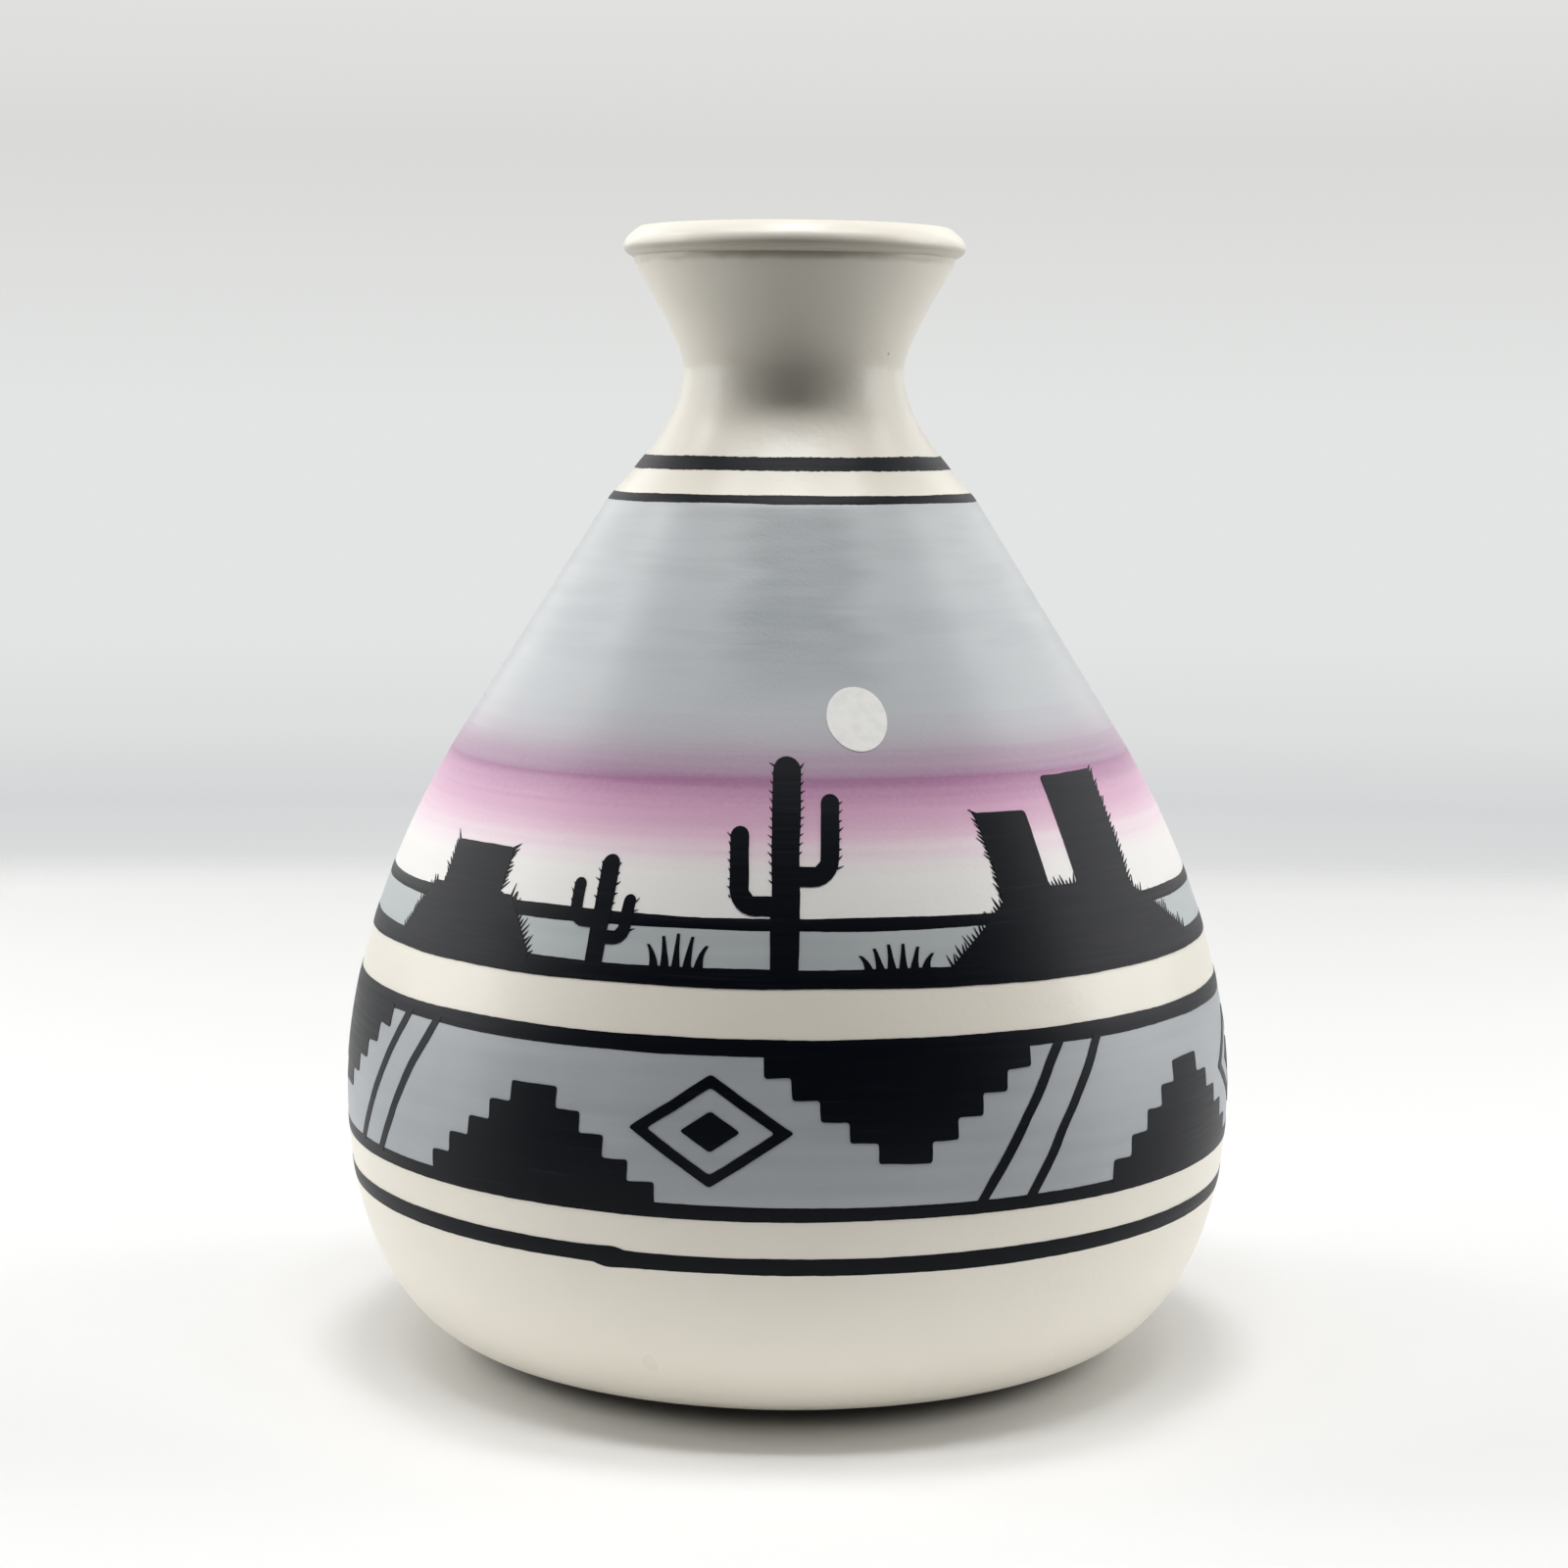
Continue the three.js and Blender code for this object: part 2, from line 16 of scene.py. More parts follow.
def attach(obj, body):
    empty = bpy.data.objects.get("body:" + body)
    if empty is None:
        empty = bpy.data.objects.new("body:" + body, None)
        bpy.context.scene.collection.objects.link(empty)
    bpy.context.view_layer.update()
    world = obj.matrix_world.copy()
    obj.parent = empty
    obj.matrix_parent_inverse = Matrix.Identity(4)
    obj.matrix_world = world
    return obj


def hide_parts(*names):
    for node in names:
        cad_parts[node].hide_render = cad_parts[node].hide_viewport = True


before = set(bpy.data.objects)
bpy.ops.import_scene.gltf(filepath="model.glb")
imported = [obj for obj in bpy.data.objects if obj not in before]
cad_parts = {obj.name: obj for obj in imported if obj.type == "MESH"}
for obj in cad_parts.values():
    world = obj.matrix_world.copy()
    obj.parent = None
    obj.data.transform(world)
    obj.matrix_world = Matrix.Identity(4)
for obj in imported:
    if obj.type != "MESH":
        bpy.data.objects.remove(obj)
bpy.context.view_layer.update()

# %% [markdown]
# All sizes below are in millimetres, the way a potter would note them, and are turned into Blender's metres
# only when a mesh is made. The vase stands on height 0 and its axis is the Z axis. Its front faces -Y.

# %% Units
MM = 0.001
TURN = 2 * math.pi


def metres(*sizes):
    return tuple(size * MM for size in sizes)


def placed(name, data):
    """A new object in the scene."""
    made = bpy.data.objects.new(name, data)
    bpy.context.scene.collection.objects.link(made)
    return made


# %% [markdown]
# ## A small helper for wiring nodes
# Geometry and material trees are both made of nodes and links. This helper adds a node, sets it up, and
# plugs in plain values or what comes out of other nodes. What comes out can be added and multiplied the way
# numbers are, so the trees further down read like the sums that they are.


# %% Wiring helper
class Flow:
    """What comes out of a node."""

    def __init__(self, wiring, socket):
        self.wiring, self.socket = wiring, socket

    def __getitem__(self, name):
        """Another output of the same node."""
        return Flow(self.wiring, self.socket.node.outputs[name])

    def __add__(self, other):
        return self.wiring.math("ADD", self, other)

    def __sub__(self, other):
        return self.wiring.math("SUBTRACT", self, other)

    def __rsub__(self, other):
        return self.wiring.math("SUBTRACT", other, self)

    def __mul__(self, other):
        return self.wiring.math("MULTIPLY", self, other)

    def __truediv__(self, other):
        return self.wiring.math("DIVIDE", self, other)

    __radd__, __rmul__ = __add__, __mul__

    def rising(self, low, high):
        """0 below low, 1 above high and a smooth rise between."""
        smooth = {"interpolation_type": "SMOOTHSTEP"}
        return self.wiring.node("ShaderNodeMapRange", smooth, Value=self, From_Min=low, From_Max=high)

    def stretched(self, across, upwards):
        """Coordinates squeezed in height, so that noise turns into level brush marks."""
        return self.wiring.vector_math("MULTIPLY", self, (across, across, upwards))


class Wiring:
    def __init__(self, tree):
        self.tree = tree

    def node(self, kind, settings=None, values=(), **inputs):
        """Adds a node and gives its first output; values go to its inputs in order."""
        made = self.tree.nodes.new(kind)
        for name, value in (settings or {}).items():
            setattr(made, name, value)
        in_use = [socket for socket in made.inputs if socket.enabled]
        for socket, value in zip(in_use, values):
            self.plug(socket, value)
        for name, value in inputs.items():
            label = name.replace("_", " ")
            self.plug(next(socket for socket in in_use if socket.name == label), value)
        return next((Flow(self, socket) for socket in made.outputs if socket.enabled), None)

    def plug(self, socket, value):
        if isinstance(value, Flow):
            self.tree.links.new(value.socket, socket)
        else:
            socket.default_value = value

    def math(self, operation, *values, clamp=False):
        return self.node("ShaderNodeMath", {"operation": operation, "use_clamp": clamp}, values)

    def vector_math(self, operation, *values):
        return self.node("ShaderNodeVectorMath", {"operation": operation}, values)

    def combine(self, *sides):
        return self.node("ShaderNodeCombineXYZ", None, sides)

    def split(self, vector):
        made = self.node("ShaderNodeSeparateXYZ", None, (vector,))
        return [made[side] for side in "XYZ"]

    def around(self, radius, turn, height):
        """The place at a turn round the axis, from the front to the right."""
        sine, cosine = self.math("SINE", turn), self.math("COSINE", turn)
        return self.combine(radius * sine, radius * (cosine * -1), height)

    def noise(self, vector, scale, detail=2.0, roughness=0.5):
        return self.node(
            "ShaderNodeTexNoise", Vector=vector, Scale=scale, Detail=detail, Roughness=roughness
        )

    def wavering(self, vector, scale, amount, detail=1.0):
        """A number that wavers smoothly between -amount and +amount."""
        return (self.noise(vector, scale, detail) - 0.5) * (amount * 2.0)

    def random(self, low, high, seed):
        return self.node("FunctionNodeRandomValue", Min=low, Max=high, Seed=seed)

    def mixed(self, share, first, second):
        return self.node("ShaderNodeMix", {"data_type": "RGBA"}, (share, first, second))

    def join(self, *parts):
        joined = self.node("GeometryNodeJoinGeometry")
        for part in parts:
            self.plug(joined.socket.node.inputs[0], part)
        return joined


# %% [markdown]
# A Geometry Nodes tree gets its sizes through named inputs, like a jig with labelled stops. The next helper
# makes an empty tree with such inputs. The one after it runs a tree on a piece, reads the result off as a
# plain mesh, and throws the jig away.


# %% Trees with named inputs
def new_tree(name, output="Geometry", sort="Geometry", **inputs):
    """An empty tree: its wiring, what it takes by label, and the socket it gives out."""
    tree = bpy.data.node_groups.new(name, sort + "NodeTree")
    for kind, labels in inputs.items():
        for label in labels:
            tree.interface.new_socket(label, in_out="INPUT", socket_type="NodeSocket" + kind)
    tree.interface.new_socket("Result", in_out="OUTPUT", socket_type="NodeSocket" + output)
    wiring = Wiring(tree)
    taken = wiring.node("NodeGroupInput")
    return wiring, taken, tree.nodes.new("NodeGroupOutput").inputs[0]


def finished(name, base_mesh, tree, values):
    """Runs a tree on a mesh and gives back a new object with the plain result."""
    jig = placed(name + "_jig", base_mesh)
    modifier = jig.modifiers.new("tree", "NODES")
    modifier.node_group = tree
    for item in tree.interface.items_tree:
        if item.in_out == "INPUT" and item.name in values:
            modifier[item.identifier] = values[item.name]
    evaluated = jig.evaluated_get(bpy.context.evaluated_depsgraph_get())
    mesh = bpy.data.meshes.new_from_object(evaluated)
    jig.modifiers.remove(modifier)
    bpy.data.objects.remove(jig)
    mesh.name = name
    return placed(name, mesh)


def volume_of(mesh):
    """The volume a closed mesh holds, in cubic centimetres; negative if it is inside out."""
    mesh.calc_loop_triangles()
    corner = np.zeros(len(mesh.vertices) * 3)
    mesh.vertices.foreach_get("co", corner)
    corner = corner.reshape(-1, 3)
    triangle = np.zeros(len(mesh.loop_triangles) * 3, int)
    mesh.loop_triangles.foreach_get("vertices", triangle)
    a, b, c = (corner[triangle.reshape(-1, 3)[:, k]] for k in range(3))
    return float(np.einsum("ij,ij->i", a, np.cross(b, c)).sum() / 6 * 1e6)


# %% [markdown]
# Every tree ends in the same way. All faces are shaded smooth, but an edge where the surface turns sharply
# stays crisp, otherwise the thin rim of a paint film would shade its whole top. Then copies become real mesh
# and get their finish.

# %% The common end of a tree
CRISP_ANGLE = 0.7


def dress(wiring, geometry, material, given):
    smooth = wiring.node("GeometryNodeSetShadeSmooth", Geometry=geometry)
    bend = wiring.node("GeometryNodeInputMeshEdgeAngle")["Unsigned Angle"]
    crisp = wiring.node(
        "GeometryNodeSetShadeSmooth", {"domain": "EDGE"}, Geometry=smooth, Shade_Smooth=False,
        Selection=wiring.math("GREATER_THAN", bend, CRISP_ANGLE),
    )
    real = wiring.node("GeometryNodeRealizeInstances", Geometry=crisp)
    wiring.plug(given, wiring.node("GeometryNodeSetMaterial", Geometry=real, Material=material))


# %% [markdown]
# ## The clay
# A slip-cast vase is round, so one line decides its whole shape: the outline from the foot to the lip. The
# stations below are the places where the outline turns. Between them it runs in smooth curves, as a potter's
# template does. A lathe could be made with the Screw modifier or with Spin, but here a small Geometry Nodes
# tree does it, because the same tree then turns every sprayed coat as well.

# %% Stations of the outline: radius and height
FOOT = (33.4, 0.0)
DISH = (42.4, 3.0)
BELLY = (55.6, 33.2)
SHOULDER = (41.3, 77.6)
COLLAR = (23.4, 106.0)
WAIST = (13.7, 122.6)
FLARE = (20.3, 136.4)
LIP = (21.2, 137.7)
RIM_HEIGHT = 140.0
BEAD_UNDERSIDE = 0.3
CROWN_BEVEL = 0.7
WALL = 3.5
FOOT_RING_WIDTH = 5.0
FOOT_RECESS = 1.2


def bezier(points, steps):
    """Points along a quadratic or cubic curve, without its first one."""
    t = np.linspace(0, 1, steps + 1)[1:, None]
    row = [np.array(p, float)[None, :] for p in points]
    while len(row) > 1:
        row = [a * (1 - t) + b * t for a, b in zip(row, row[1:])]
    return row[0]


def along(a, b):
    run = np.subtract(b, a)
    return run / np.hypot(*run)


def eased(start, start_slope, start_pull, end, end_slope, end_pull, steps):
    span = np.hypot(*np.subtract(end, start))
    leave = start + start_pull * span * np.array(start_slope)
    arrive = end - end_pull * span * np.array(end_slope)
    return bezier([start, leave, arrive, end], steps)


UPRIGHT = (0.0, 1.0)
dish_slope = along(FOOT, DISH)
cone_slope = along(SHOULDER, COLLAR)
flare_slope = along((0, 0), along(WAIST, FLARE) + along(FLARE, LIP))

outline = np.vstack([
    np.array(FOOT)[None, :],
    bezier([FOOT, DISH], 6),
    eased(DISH, dish_slope, 0.17, BELLY, UPRIGHT, 0.6, 40),
    eased(BELLY, UPRIGHT, 0.33, SHOULDER, cone_slope, 0.31, 44),
    bezier([SHOULDER, COLLAR], 30),
    eased(COLLAR, cone_slope, 0.17, WAIST, UPRIGHT, 0.36, 24),
    eased(WAIST, UPRIGHT, 0.2, FLARE, flare_slope, 0.3, 20),
])
print("outline:", len(outline), "points, widest", outline[:, 0].max(), "mm")

# %% [markdown]
# The hollow is the same line moved inwards by the wall. Moving each point square to the line keeps the wall
# even, which is what casting does: clay settles on the mould at the same rate everywhere.


# %% Moving the outline sideways
def sideways(points, distance):
    """The line moved by a distance, outwards where it is positive."""
    run = np.gradient(points, axis=0)
    run /= np.hypot(run[:, 0], run[:, 1])[:, None]
    return points + distance * np.stack([run[:, 1], -run[:, 0]], axis=1)


def at_height(points, height):
    return np.array([np.interp(height, points[:, 1], points[:, 0]), height])


def stretch(points, low, high):
    """The part of a rising line between two heights, with level ends."""
    inside = points[(points[:, 1] > low + 0.02) & (points[:, 1] < high - 0.02)]
    return np.vstack([at_height(points, low), inside, at_height(points, high)])


def clay_radius(height):
    return float(at_height(outline, height)[0])


# %% [markdown]
# The foot stands on a ring 5 mm wide round a shallow recess, so that the vase doesn't rock. Its edges are
# sponged, not sharp. The lip is a rolled bead: its underside springs out of the flare almost level, which
# leaves a crisp groove, and its top is rounded off.

# %% The closed profile of the clay
SPONGED = 0.6
FLOOR_CORNER = 4.0
CROWN_SLOPE = 1.25
GROOVE_FROM = 135.3
GROOVE_SPRING = 0.4
GROOVE = (19.85, 136.35)
floor_height = FOOT_RECESS + WALL
recess_radius = FOOT[0] - FOOT_RING_WIDTH
inset = sideways(outline, -WALL)
floor_edge = at_height(inset, floor_height)
hollow = inset[inset[:, 1] > floor_height + FLOOR_CORNER / 2]
floor_start = (floor_edge[0] - FLOOR_CORNER, floor_height)
floor_curve = bezier([floor_start, floor_edge, hollow[0]], 6)
mouth = hollow[-1]
crown_top = ((LIP[0] + mouth[0]) / 2, RIM_HEIGHT)

recess_start = (recess_radius - FOOT_RECESS - SPONGED, FOOT_RECESS)
recess_slope = (recess_radius - FOOT_RECESS / 2, FOOT_RECESS / 2)
foot_edge = bezier([(FOOT[0] - SPONGED, 0.0), FOOT, np.array(FOOT) + SPONGED * dish_slope], 4)
clay_profile = np.vstack([
    [(0.0, FOOT_RECESS), (recess_radius * 0.5, FOOT_RECESS), recess_start],
    bezier([recess_start, (recess_radius - FOOT_RECESS, FOOT_RECESS), recess_slope], 4),
    bezier([recess_slope, (recess_radius, 0.0), (recess_radius + SPONGED, 0.0)], 4),
    [((recess_radius + FOOT[0]) / 2, 0.0), (FOOT[0] - SPONGED, 0.0)],
    foot_edge,
    outline[(outline[:, 1] > foot_edge[-1, 1] + 0.05) & (outline[:, 1] < GROOVE_FROM)],
    bezier([at_height(outline, GROOVE_FROM), (GROOVE[0], GROOVE_FROM + GROOVE_SPRING), GROOVE], 4),
    bezier([GROOVE, (LIP[0], FLARE[1] + BEAD_UNDERSIDE * (LIP[1] - FLARE[1])), LIP], 8),
    bezier([LIP, (LIP[0], RIM_HEIGHT - CROWN_SLOPE), crown_top], 8),
    bezier([crown_top, (mouth[0], RIM_HEIGHT - CROWN_BEVEL), mouth], 8),
    hollow[::-1][1:],
    floor_curve[::-1][1:],
    [floor_start, (floor_edge[0] / 2, floor_height), (0.0, floor_height)],
])
print("clay profile:", len(clay_profile), "points; mouth radius", round(mouth[0], 1), "mm")

# %% [markdown]
# ### The turning tree
# The tree reads the profile's points one by one and sets each of them in a ring of even steps round the
# axis. It starts from a flat grid whose rows are the profile and whose columns are the steps, because a grid
# already has good faces: only its points have to move. Merging closes the ring, and the poles at the axis.

# %% Turn a profile round the axis
wiring, taken, given = new_tree(
    "turn_on_wheel", Geometry=["Profile"], Int=["Steps round"], Material=["Material"]
)
rows = wiring.node("GeometryNodeAttributeDomainSize", Geometry=taken["Profile"])["Point Count"]
columns = taken["Steps round"] + 1
grid = wiring.node("GeometryNodeMeshGrid", Vertices_X=rows, Vertices_Y=columns)
index = wiring.node("GeometryNodeInputIndex")
row = wiring.math("FLOOR", (index + 0.5) / columns)
step = index - row * columns
profile_point = wiring.node(
    "GeometryNodeSampleIndex", {"data_type": "FLOAT_VECTOR"},
    Geometry=taken["Profile"], Value=wiring.node("GeometryNodeInputPosition"), Index=row,
)
radius, _, height = wiring.split(profile_point)
place = wiring.around(radius, step / taken["Steps round"] * TURN, height)
turned = wiring.node("GeometryNodeSetPosition", Geometry=grid, Position=place)
closed = wiring.node("GeometryNodeMergeByDistance", Geometry=turned, Distance=1e-6)
dress(wiring, wiring.node("GeometryNodeFlipFaces", Mesh=closed), taken["Material"], given)
turn_tree = wiring.tree

STEPS_ROUND = 192


def turned_piece(name, profile, material):
    line = bpy.data.meshes.new(name + "_profile")
    points = [metres(radius, 0.0, height) for radius, height in profile]
    line.from_pydata(points, [(i, i + 1) for i in range(len(points) - 1)], [])
    piece = finished(name, line, turn_tree, {"Steps round": STEPS_ROUND, "Material": material})
    print(f"{name}: {len(piece.data.polygons)} faces, {volume_of(piece.data):.2f} cm3")
    return piece


# %% [markdown]
# ## Finishes
# A finish is a small tree too. All of them read Object coordinates, which are metres measured from the
# vase's own foot, so a pattern stays on the clay wherever the vase is put. Colours are written the way they
# look on a screen and turned into light values by the helper below.


# %% Colours and an empty finish
def paint(red, green, blue):
    """A colour as seen on a screen, as the light values that a shader works with."""
    shares = [value / 255 for value in (red, green, blue)]
    light = [s / 12.92 if s <= 0.04045 else ((s + 0.055) / 1.055) ** 2.4 for s in shares]
    return (*light, 1.0)


def new_finish(name):
    material = bpy.data.materials.new(name)
    material.use_nodes = True
    wiring = Wiring(material.node_tree)
    return material, wiring, wiring.node("ShaderNodeTexCoord")["Object"]


def surface(wiring, colour, roughness, bumps=None, depth=0.0):
    """Plugs in a colour, a roughness and small bumps, whose depth is in metres."""
    shader = wiring.tree.nodes["Principled BSDF"]
    wiring.plug(shader.inputs["Base Color"], colour)
    wiring.plug(shader.inputs["Roughness"], roughness)
    if bumps:
        bumped = wiring.node("ShaderNodeBump", Height=bumps, Distance=depth, Strength=1.0)
        wiring.plug(shader.inputs["Normal"], bumped)
    return shader


def ramped(wiring, level, colours, lowest, highest, unit=1.0):
    """The colour for a level, with a soft change from each given colour to the next."""
    share = (level - lowest * unit) / ((highest - lowest) * unit)
    ramp = wiring.node("ShaderNodeValToRGB", Fac=share)
    stops = ramp.socket.node.color_ramp.elements
    for number, (place, colour) in enumerate(colours.items()):
        stop = stops[number] if number < len(stops) else stops.new(1.0)
        stop.position = (place - lowest) / (highest - lowest)
        stop.color = paint(*colour)
    return ramp


# %% [markdown]
# ### Cream clay under a satin glaze
# The fired clay is a warm cream. Nothing about it is quite even: the glaze pools a little, iron in the clay
# gives a few tiny brown specks, and the surface has the faint orange-peel of a brushed glaze. The groove
# under the lip is painted a darker brown: painted shade, where the overhanging bead keeps the light out. The
# foot ring and the recess are wiped bare so that the vase doesn't stick to the kiln shelf, so they are matt
# and duller.

# %% Cream clay
cream_clay, wiring, place = new_finish("cream_clay")
pooling = wiring.noise(place, 38, 3.0)
glaze = wiring.mixed(pooling, paint(237, 231, 217), paint(244, 239, 226))

SPECK_CELLS = 150.0
SPECK_SIZE = 0.045
SPECK_SELDOM = 0.72
cell = wiring.node("ShaderNodeTexVoronoi", Vector=place, Scale=SPECK_CELLS, Randomness=1.0)
luck, size, _ = wiring.split(cell["Color"])
speck = wiring.math("LESS_THAN", cell["Distance"], size * SPECK_SIZE)
seldom = wiring.math("GREATER_THAN", luck, SPECK_SELDOM)
speckled = wiring.mixed(speck * seldom * 0.55, glaze, paint(150, 128, 100))

# Painted shade: a darker brown is painted into the groove under the bead, where the bead shades the clay.
GROOVE_DARKENS = metres(135.2, 136.4)
GROOVE_ENDS = metres(137.0, 137.7)
OUTSIDE_RADIUS = 18.8 * MM
x, y, height = wiring.split(place)
ragged_height = height + wiring.wavering(place, 300, 0.0004)
from_axis = wiring.vector_math("LENGTH", wiring.combine(x, y))["Value"]
outside = wiring.math("GREATER_THAN", from_axis, OUTSIDE_RADIUS)
painted_groove_shade = ragged_height.rising(*GROOVE_DARKENS) * (1.0 - height.rising(*GROOVE_ENDS)) * outside
groove_shaded_glaze = wiring.mixed(painted_groove_shade * 0.5, speckled, paint(142, 128, 106))

GLAZE_STARTS = metres(1.2, 2.0)
glazed = ragged_height.rising(*GLAZE_STARTS)
bare = wiring.mixed(wiring.noise(place, 180, 4.0), paint(196, 184, 164), paint(222, 211, 192))
roughness = 0.24 + pooling * 0.12 + (1.0 - glazed) * 0.45
peel = wiring.noise(place, 900, 2.0) + wiring.noise(place, 90, 2.0) * 4.0
surface(wiring, wiring.mixed(glazed, bare, groove_shaded_glaze), roughness, peel, 0.00003)

# %% [markdown]
# ### Black brushed on a turntable
# The black is thick, smooth underglaze. A brush that is held still while the vase turns leaves level streaks:
# where the paint runs thin, a little of the ground shows as dark grey. Noise that is squeezed in height gives
# such streaks with no seam at the back.

# %% Black brush paint
black_brush_paint, wiring, place = new_finish("black_brush_paint")
streak = wiring.noise(place.stretched(60, 2400), 1.0, 3.0, 0.6)
black = wiring.mixed(streak.rising(0.58, 0.86), paint(5, 8, 16), paint(27, 31, 42))
shader = surface(wiring, black, 0.30 + streak * 0.2, streak, 0.00002)
shader.inputs["Specular IOR Level"].default_value = 0.12

# %% [markdown]
# ### The sprayed sky
# The bands from the white haze over the horizon up to the grey sky are airbrushed. Each was sprayed as the
# vase turned, so there is no edge between them, only a slow change of colour with height: white, pink, a deep
# line of mauve, then grey. A colour ramp along the height does this. Two noises loosen it: a slow one moves
# the bands up and down by a fraction of a millimetre, and a fine one gives the grain of sprayed paint. A
# third, squeezed in height, leaves the faint level lines of one pass over another. The mauve was heaviest on
# the side where it began, which is the front. The grey is painted darker in one patch at the front: painted
# shade, where less light reaches it.

# %% Sprayed sky colours, shared by three coats
SPRAY_LOW = 60.0
SPRAY_HIGH = 108.0
SPRAYED_COLOURS = {
    65.5: (241, 239, 235),
    68.0: (239, 223, 229),
    70.0: (230, 196, 213),
    72.0: (215, 171, 197),
    73.3: (210, 164, 192),
    75.0: (180, 131, 164),
    76.1: (156, 105, 143),
    77.1: (166, 137, 160),
    79.0: (175, 162, 174),
    83.0: (184, 187, 190),
    106.0: (189, 193, 195),
}
MAUVE_HEIGHT = 75.5 * MM
MAUVE_REACH = metres(2, 7)
BACK_STARTS = metres(-12, 30)

wiring, _, given = new_tree("sprayed_sky_colours_and_shade", "Color", "Shader")
place = wiring.node("ShaderNodeTexCoord")["Object"]
x, y, height = wiring.split(place)
drift = wiring.wavering(place, 24, 0.0007, 2.0)
passes = wiring.wavering(place.stretched(9, 620), 1.0, 0.0016, 2.0)
grain = wiring.wavering(place, 1900, 0.0004, 2.0)
loose_height = height + (drift + passes + grain)
sprayed = ramped(wiring, loose_height, SPRAYED_COLOURS, SPRAY_LOW, SPRAY_HIGH, MM)
behind = (y + wiring.wavering(place, 16, 0.03)).rising(*BACK_STARTS)
near_mauve = 1.0 - wiring.math("ABSOLUTE", height - MAUVE_HEIGHT).rising(*MAUVE_REACH)
pale = wiring.mixed(0.5, sprayed, paint(232, 226, 229))
faded = wiring.mixed(behind * near_mauve, sprayed, pale)

# %% Painted front shade and brush passes in the grey
# Painted shade: over a patch at the front the grey is painted darker, where less light falls. The level brush
# marks added on top belong to the paint itself.
FRONT_SHADE_TURN = 0.03
FRONT_SHADE_REACH = (0.10, 0.34)
SKY_STARTS = metres(81, 92)
ragged = wiring.wavering(place.stretched(26, 420), 1.0, 0.16, 3.0)
azimuth = wiring.math("ARCTAN2", x, y * -1)
aside = wiring.math("ABSOLUTE", azimuth - FRONT_SHADE_TURN + ragged)
painted_front_shade = 1.0 - aside.rising(*FRONT_SHADE_REACH)
mottled = 0.62 + wiring.wavering(place.stretched(90, 800), 1.0, 0.24, 3.0)
brushed = wiring.noise(place.stretched(60, 700), 1.0, 3.0).rising(0.42, 0.66)
front_shade_and_passes = (painted_front_shade * mottled + brushed * 0.15) * height.rising(*SKY_STARTS)
wiring.plug(given, wiring.mixed(front_shade_and_passes, faded, paint(146, 153, 156)))
sprayed_tree = wiring.tree

# %% Three sprayed finishes


def sprayed_finish(name, roughness):
    material, wiring, place = new_finish(name)
    colours = wiring.node("ShaderNodeGroup", {"node_tree": sprayed_tree})
    mist = wiring.noise(place, 2600, 2.0)
    cloud = wiring.noise(place.stretched(40, 160), 1.0, 2.0)
    surface(wiring, colours, roughness + cloud * 0.14, mist + cloud * 3.0, 0.000015)
    return material


haze_white_paint = sprayed_finish("haze_white_paint", 0.36)
dusk_mauve_paint = sprayed_finish("dusk_mauve_paint", 0.36)
sky_grey_paint = sprayed_finish("sky_grey_paint", 0.27)

# %% [markdown]
# ### The two plain grey bands
# The ground under the horizon and the band behind the frieze are brushed, not sprayed. The grey is a wash of
# the same paint at two strengths, with soft level marks where the brush passed over twice.


# %% Brushed greys
def brushed_grey(name, light, dark):
    material, wiring, place = new_finish(name)
    marks = wiring.noise(place.stretched(22, 420), 1.0, 3.0, 0.55)
    spread = ((marks + wiring.noise(place, 60, 2.0)) * 0.5).rising(0.36, 0.64)
    grey = wiring.mixed(spread, paint(*dark), paint(*light))
    surface(wiring, grey, 0.34 + marks * 0.16, marks, 0.00002)
    return material


ground_grey_paint = brushed_grey("ground_grey_paint", (183, 189, 190), (175, 181, 183))
frieze_grey_paint = brushed_grey("frieze_grey_paint", (173, 178, 182), (163, 168, 173))

# %% [markdown]
# ### The pale sun
# One spot of thick white, dabbed on with a round brush, so it has small ridges that run round its middle.

# %% Pale sun paint
pale_sun_paint, wiring, place = new_finish("pale_sun_paint")
dabs = wiring.noise(place, 700, 3.0)
white = wiring.mixed(dabs.rising(0.35, 0.6), paint(237, 237, 234), paint(244, 243, 239))
surface(wiring, white, 0.36 + dabs * 0.15, dabs, 0.00003)

# %% [markdown]
# ## Turn the clay
# The whole vessel, inside and out, is one turned piece, as it is one piece of clay.

# %% The clay vessel
vase_clay = turned_piece("vase_clay", clay_profile, cream_clay)

# %% [markdown]
# ## The coats of colour
# A coat is a thin skin that lies on the clay. Its profile is a closed loop: along the outside a few
# hundredths of a millimetre over the clay, and back just inside it. A real coat has no clean edge, so each
# of them runs on a little under the black line or the next coat, which hides where it ends. Each is noted
# with the solid of the finished model that it stands for, as the lines and motifs are further down.

# %% Five coats
SUNK = 0.03


def coat_profile(low, high, over):
    topside = stretch(sideways(outline, over), low, high)
    underside = stretch(sideways(outline, -SUNK), low, high)
    return np.vstack([topside, underside[::-1], topside[:1]])


COATS = {
    "frieze_coat": ("frieze_grey_coat", 29.4, 47.9, 0.04, frieze_grey_paint),
    "ground_coat": ("ground_grey_coat", 55.4, 60.9, 0.04, ground_grey_paint),
    "haze_coat": ("haze_white_coat", 60.8, 70.6, 0.03, haze_white_paint),
    "dusk_coat": ("dusk_mauve_coat", 68.4, 80.8, 0.04, dusk_mauve_paint),
    "sky_coat": ("sky_grey_coat", 79.2, 107.1, 0.05, sky_grey_paint),
}
coats = {
    name: (turned_piece(name, coat_profile(low, high, over), material), [node])
    for name, (node, low, high, over, material) in COATS.items()
}

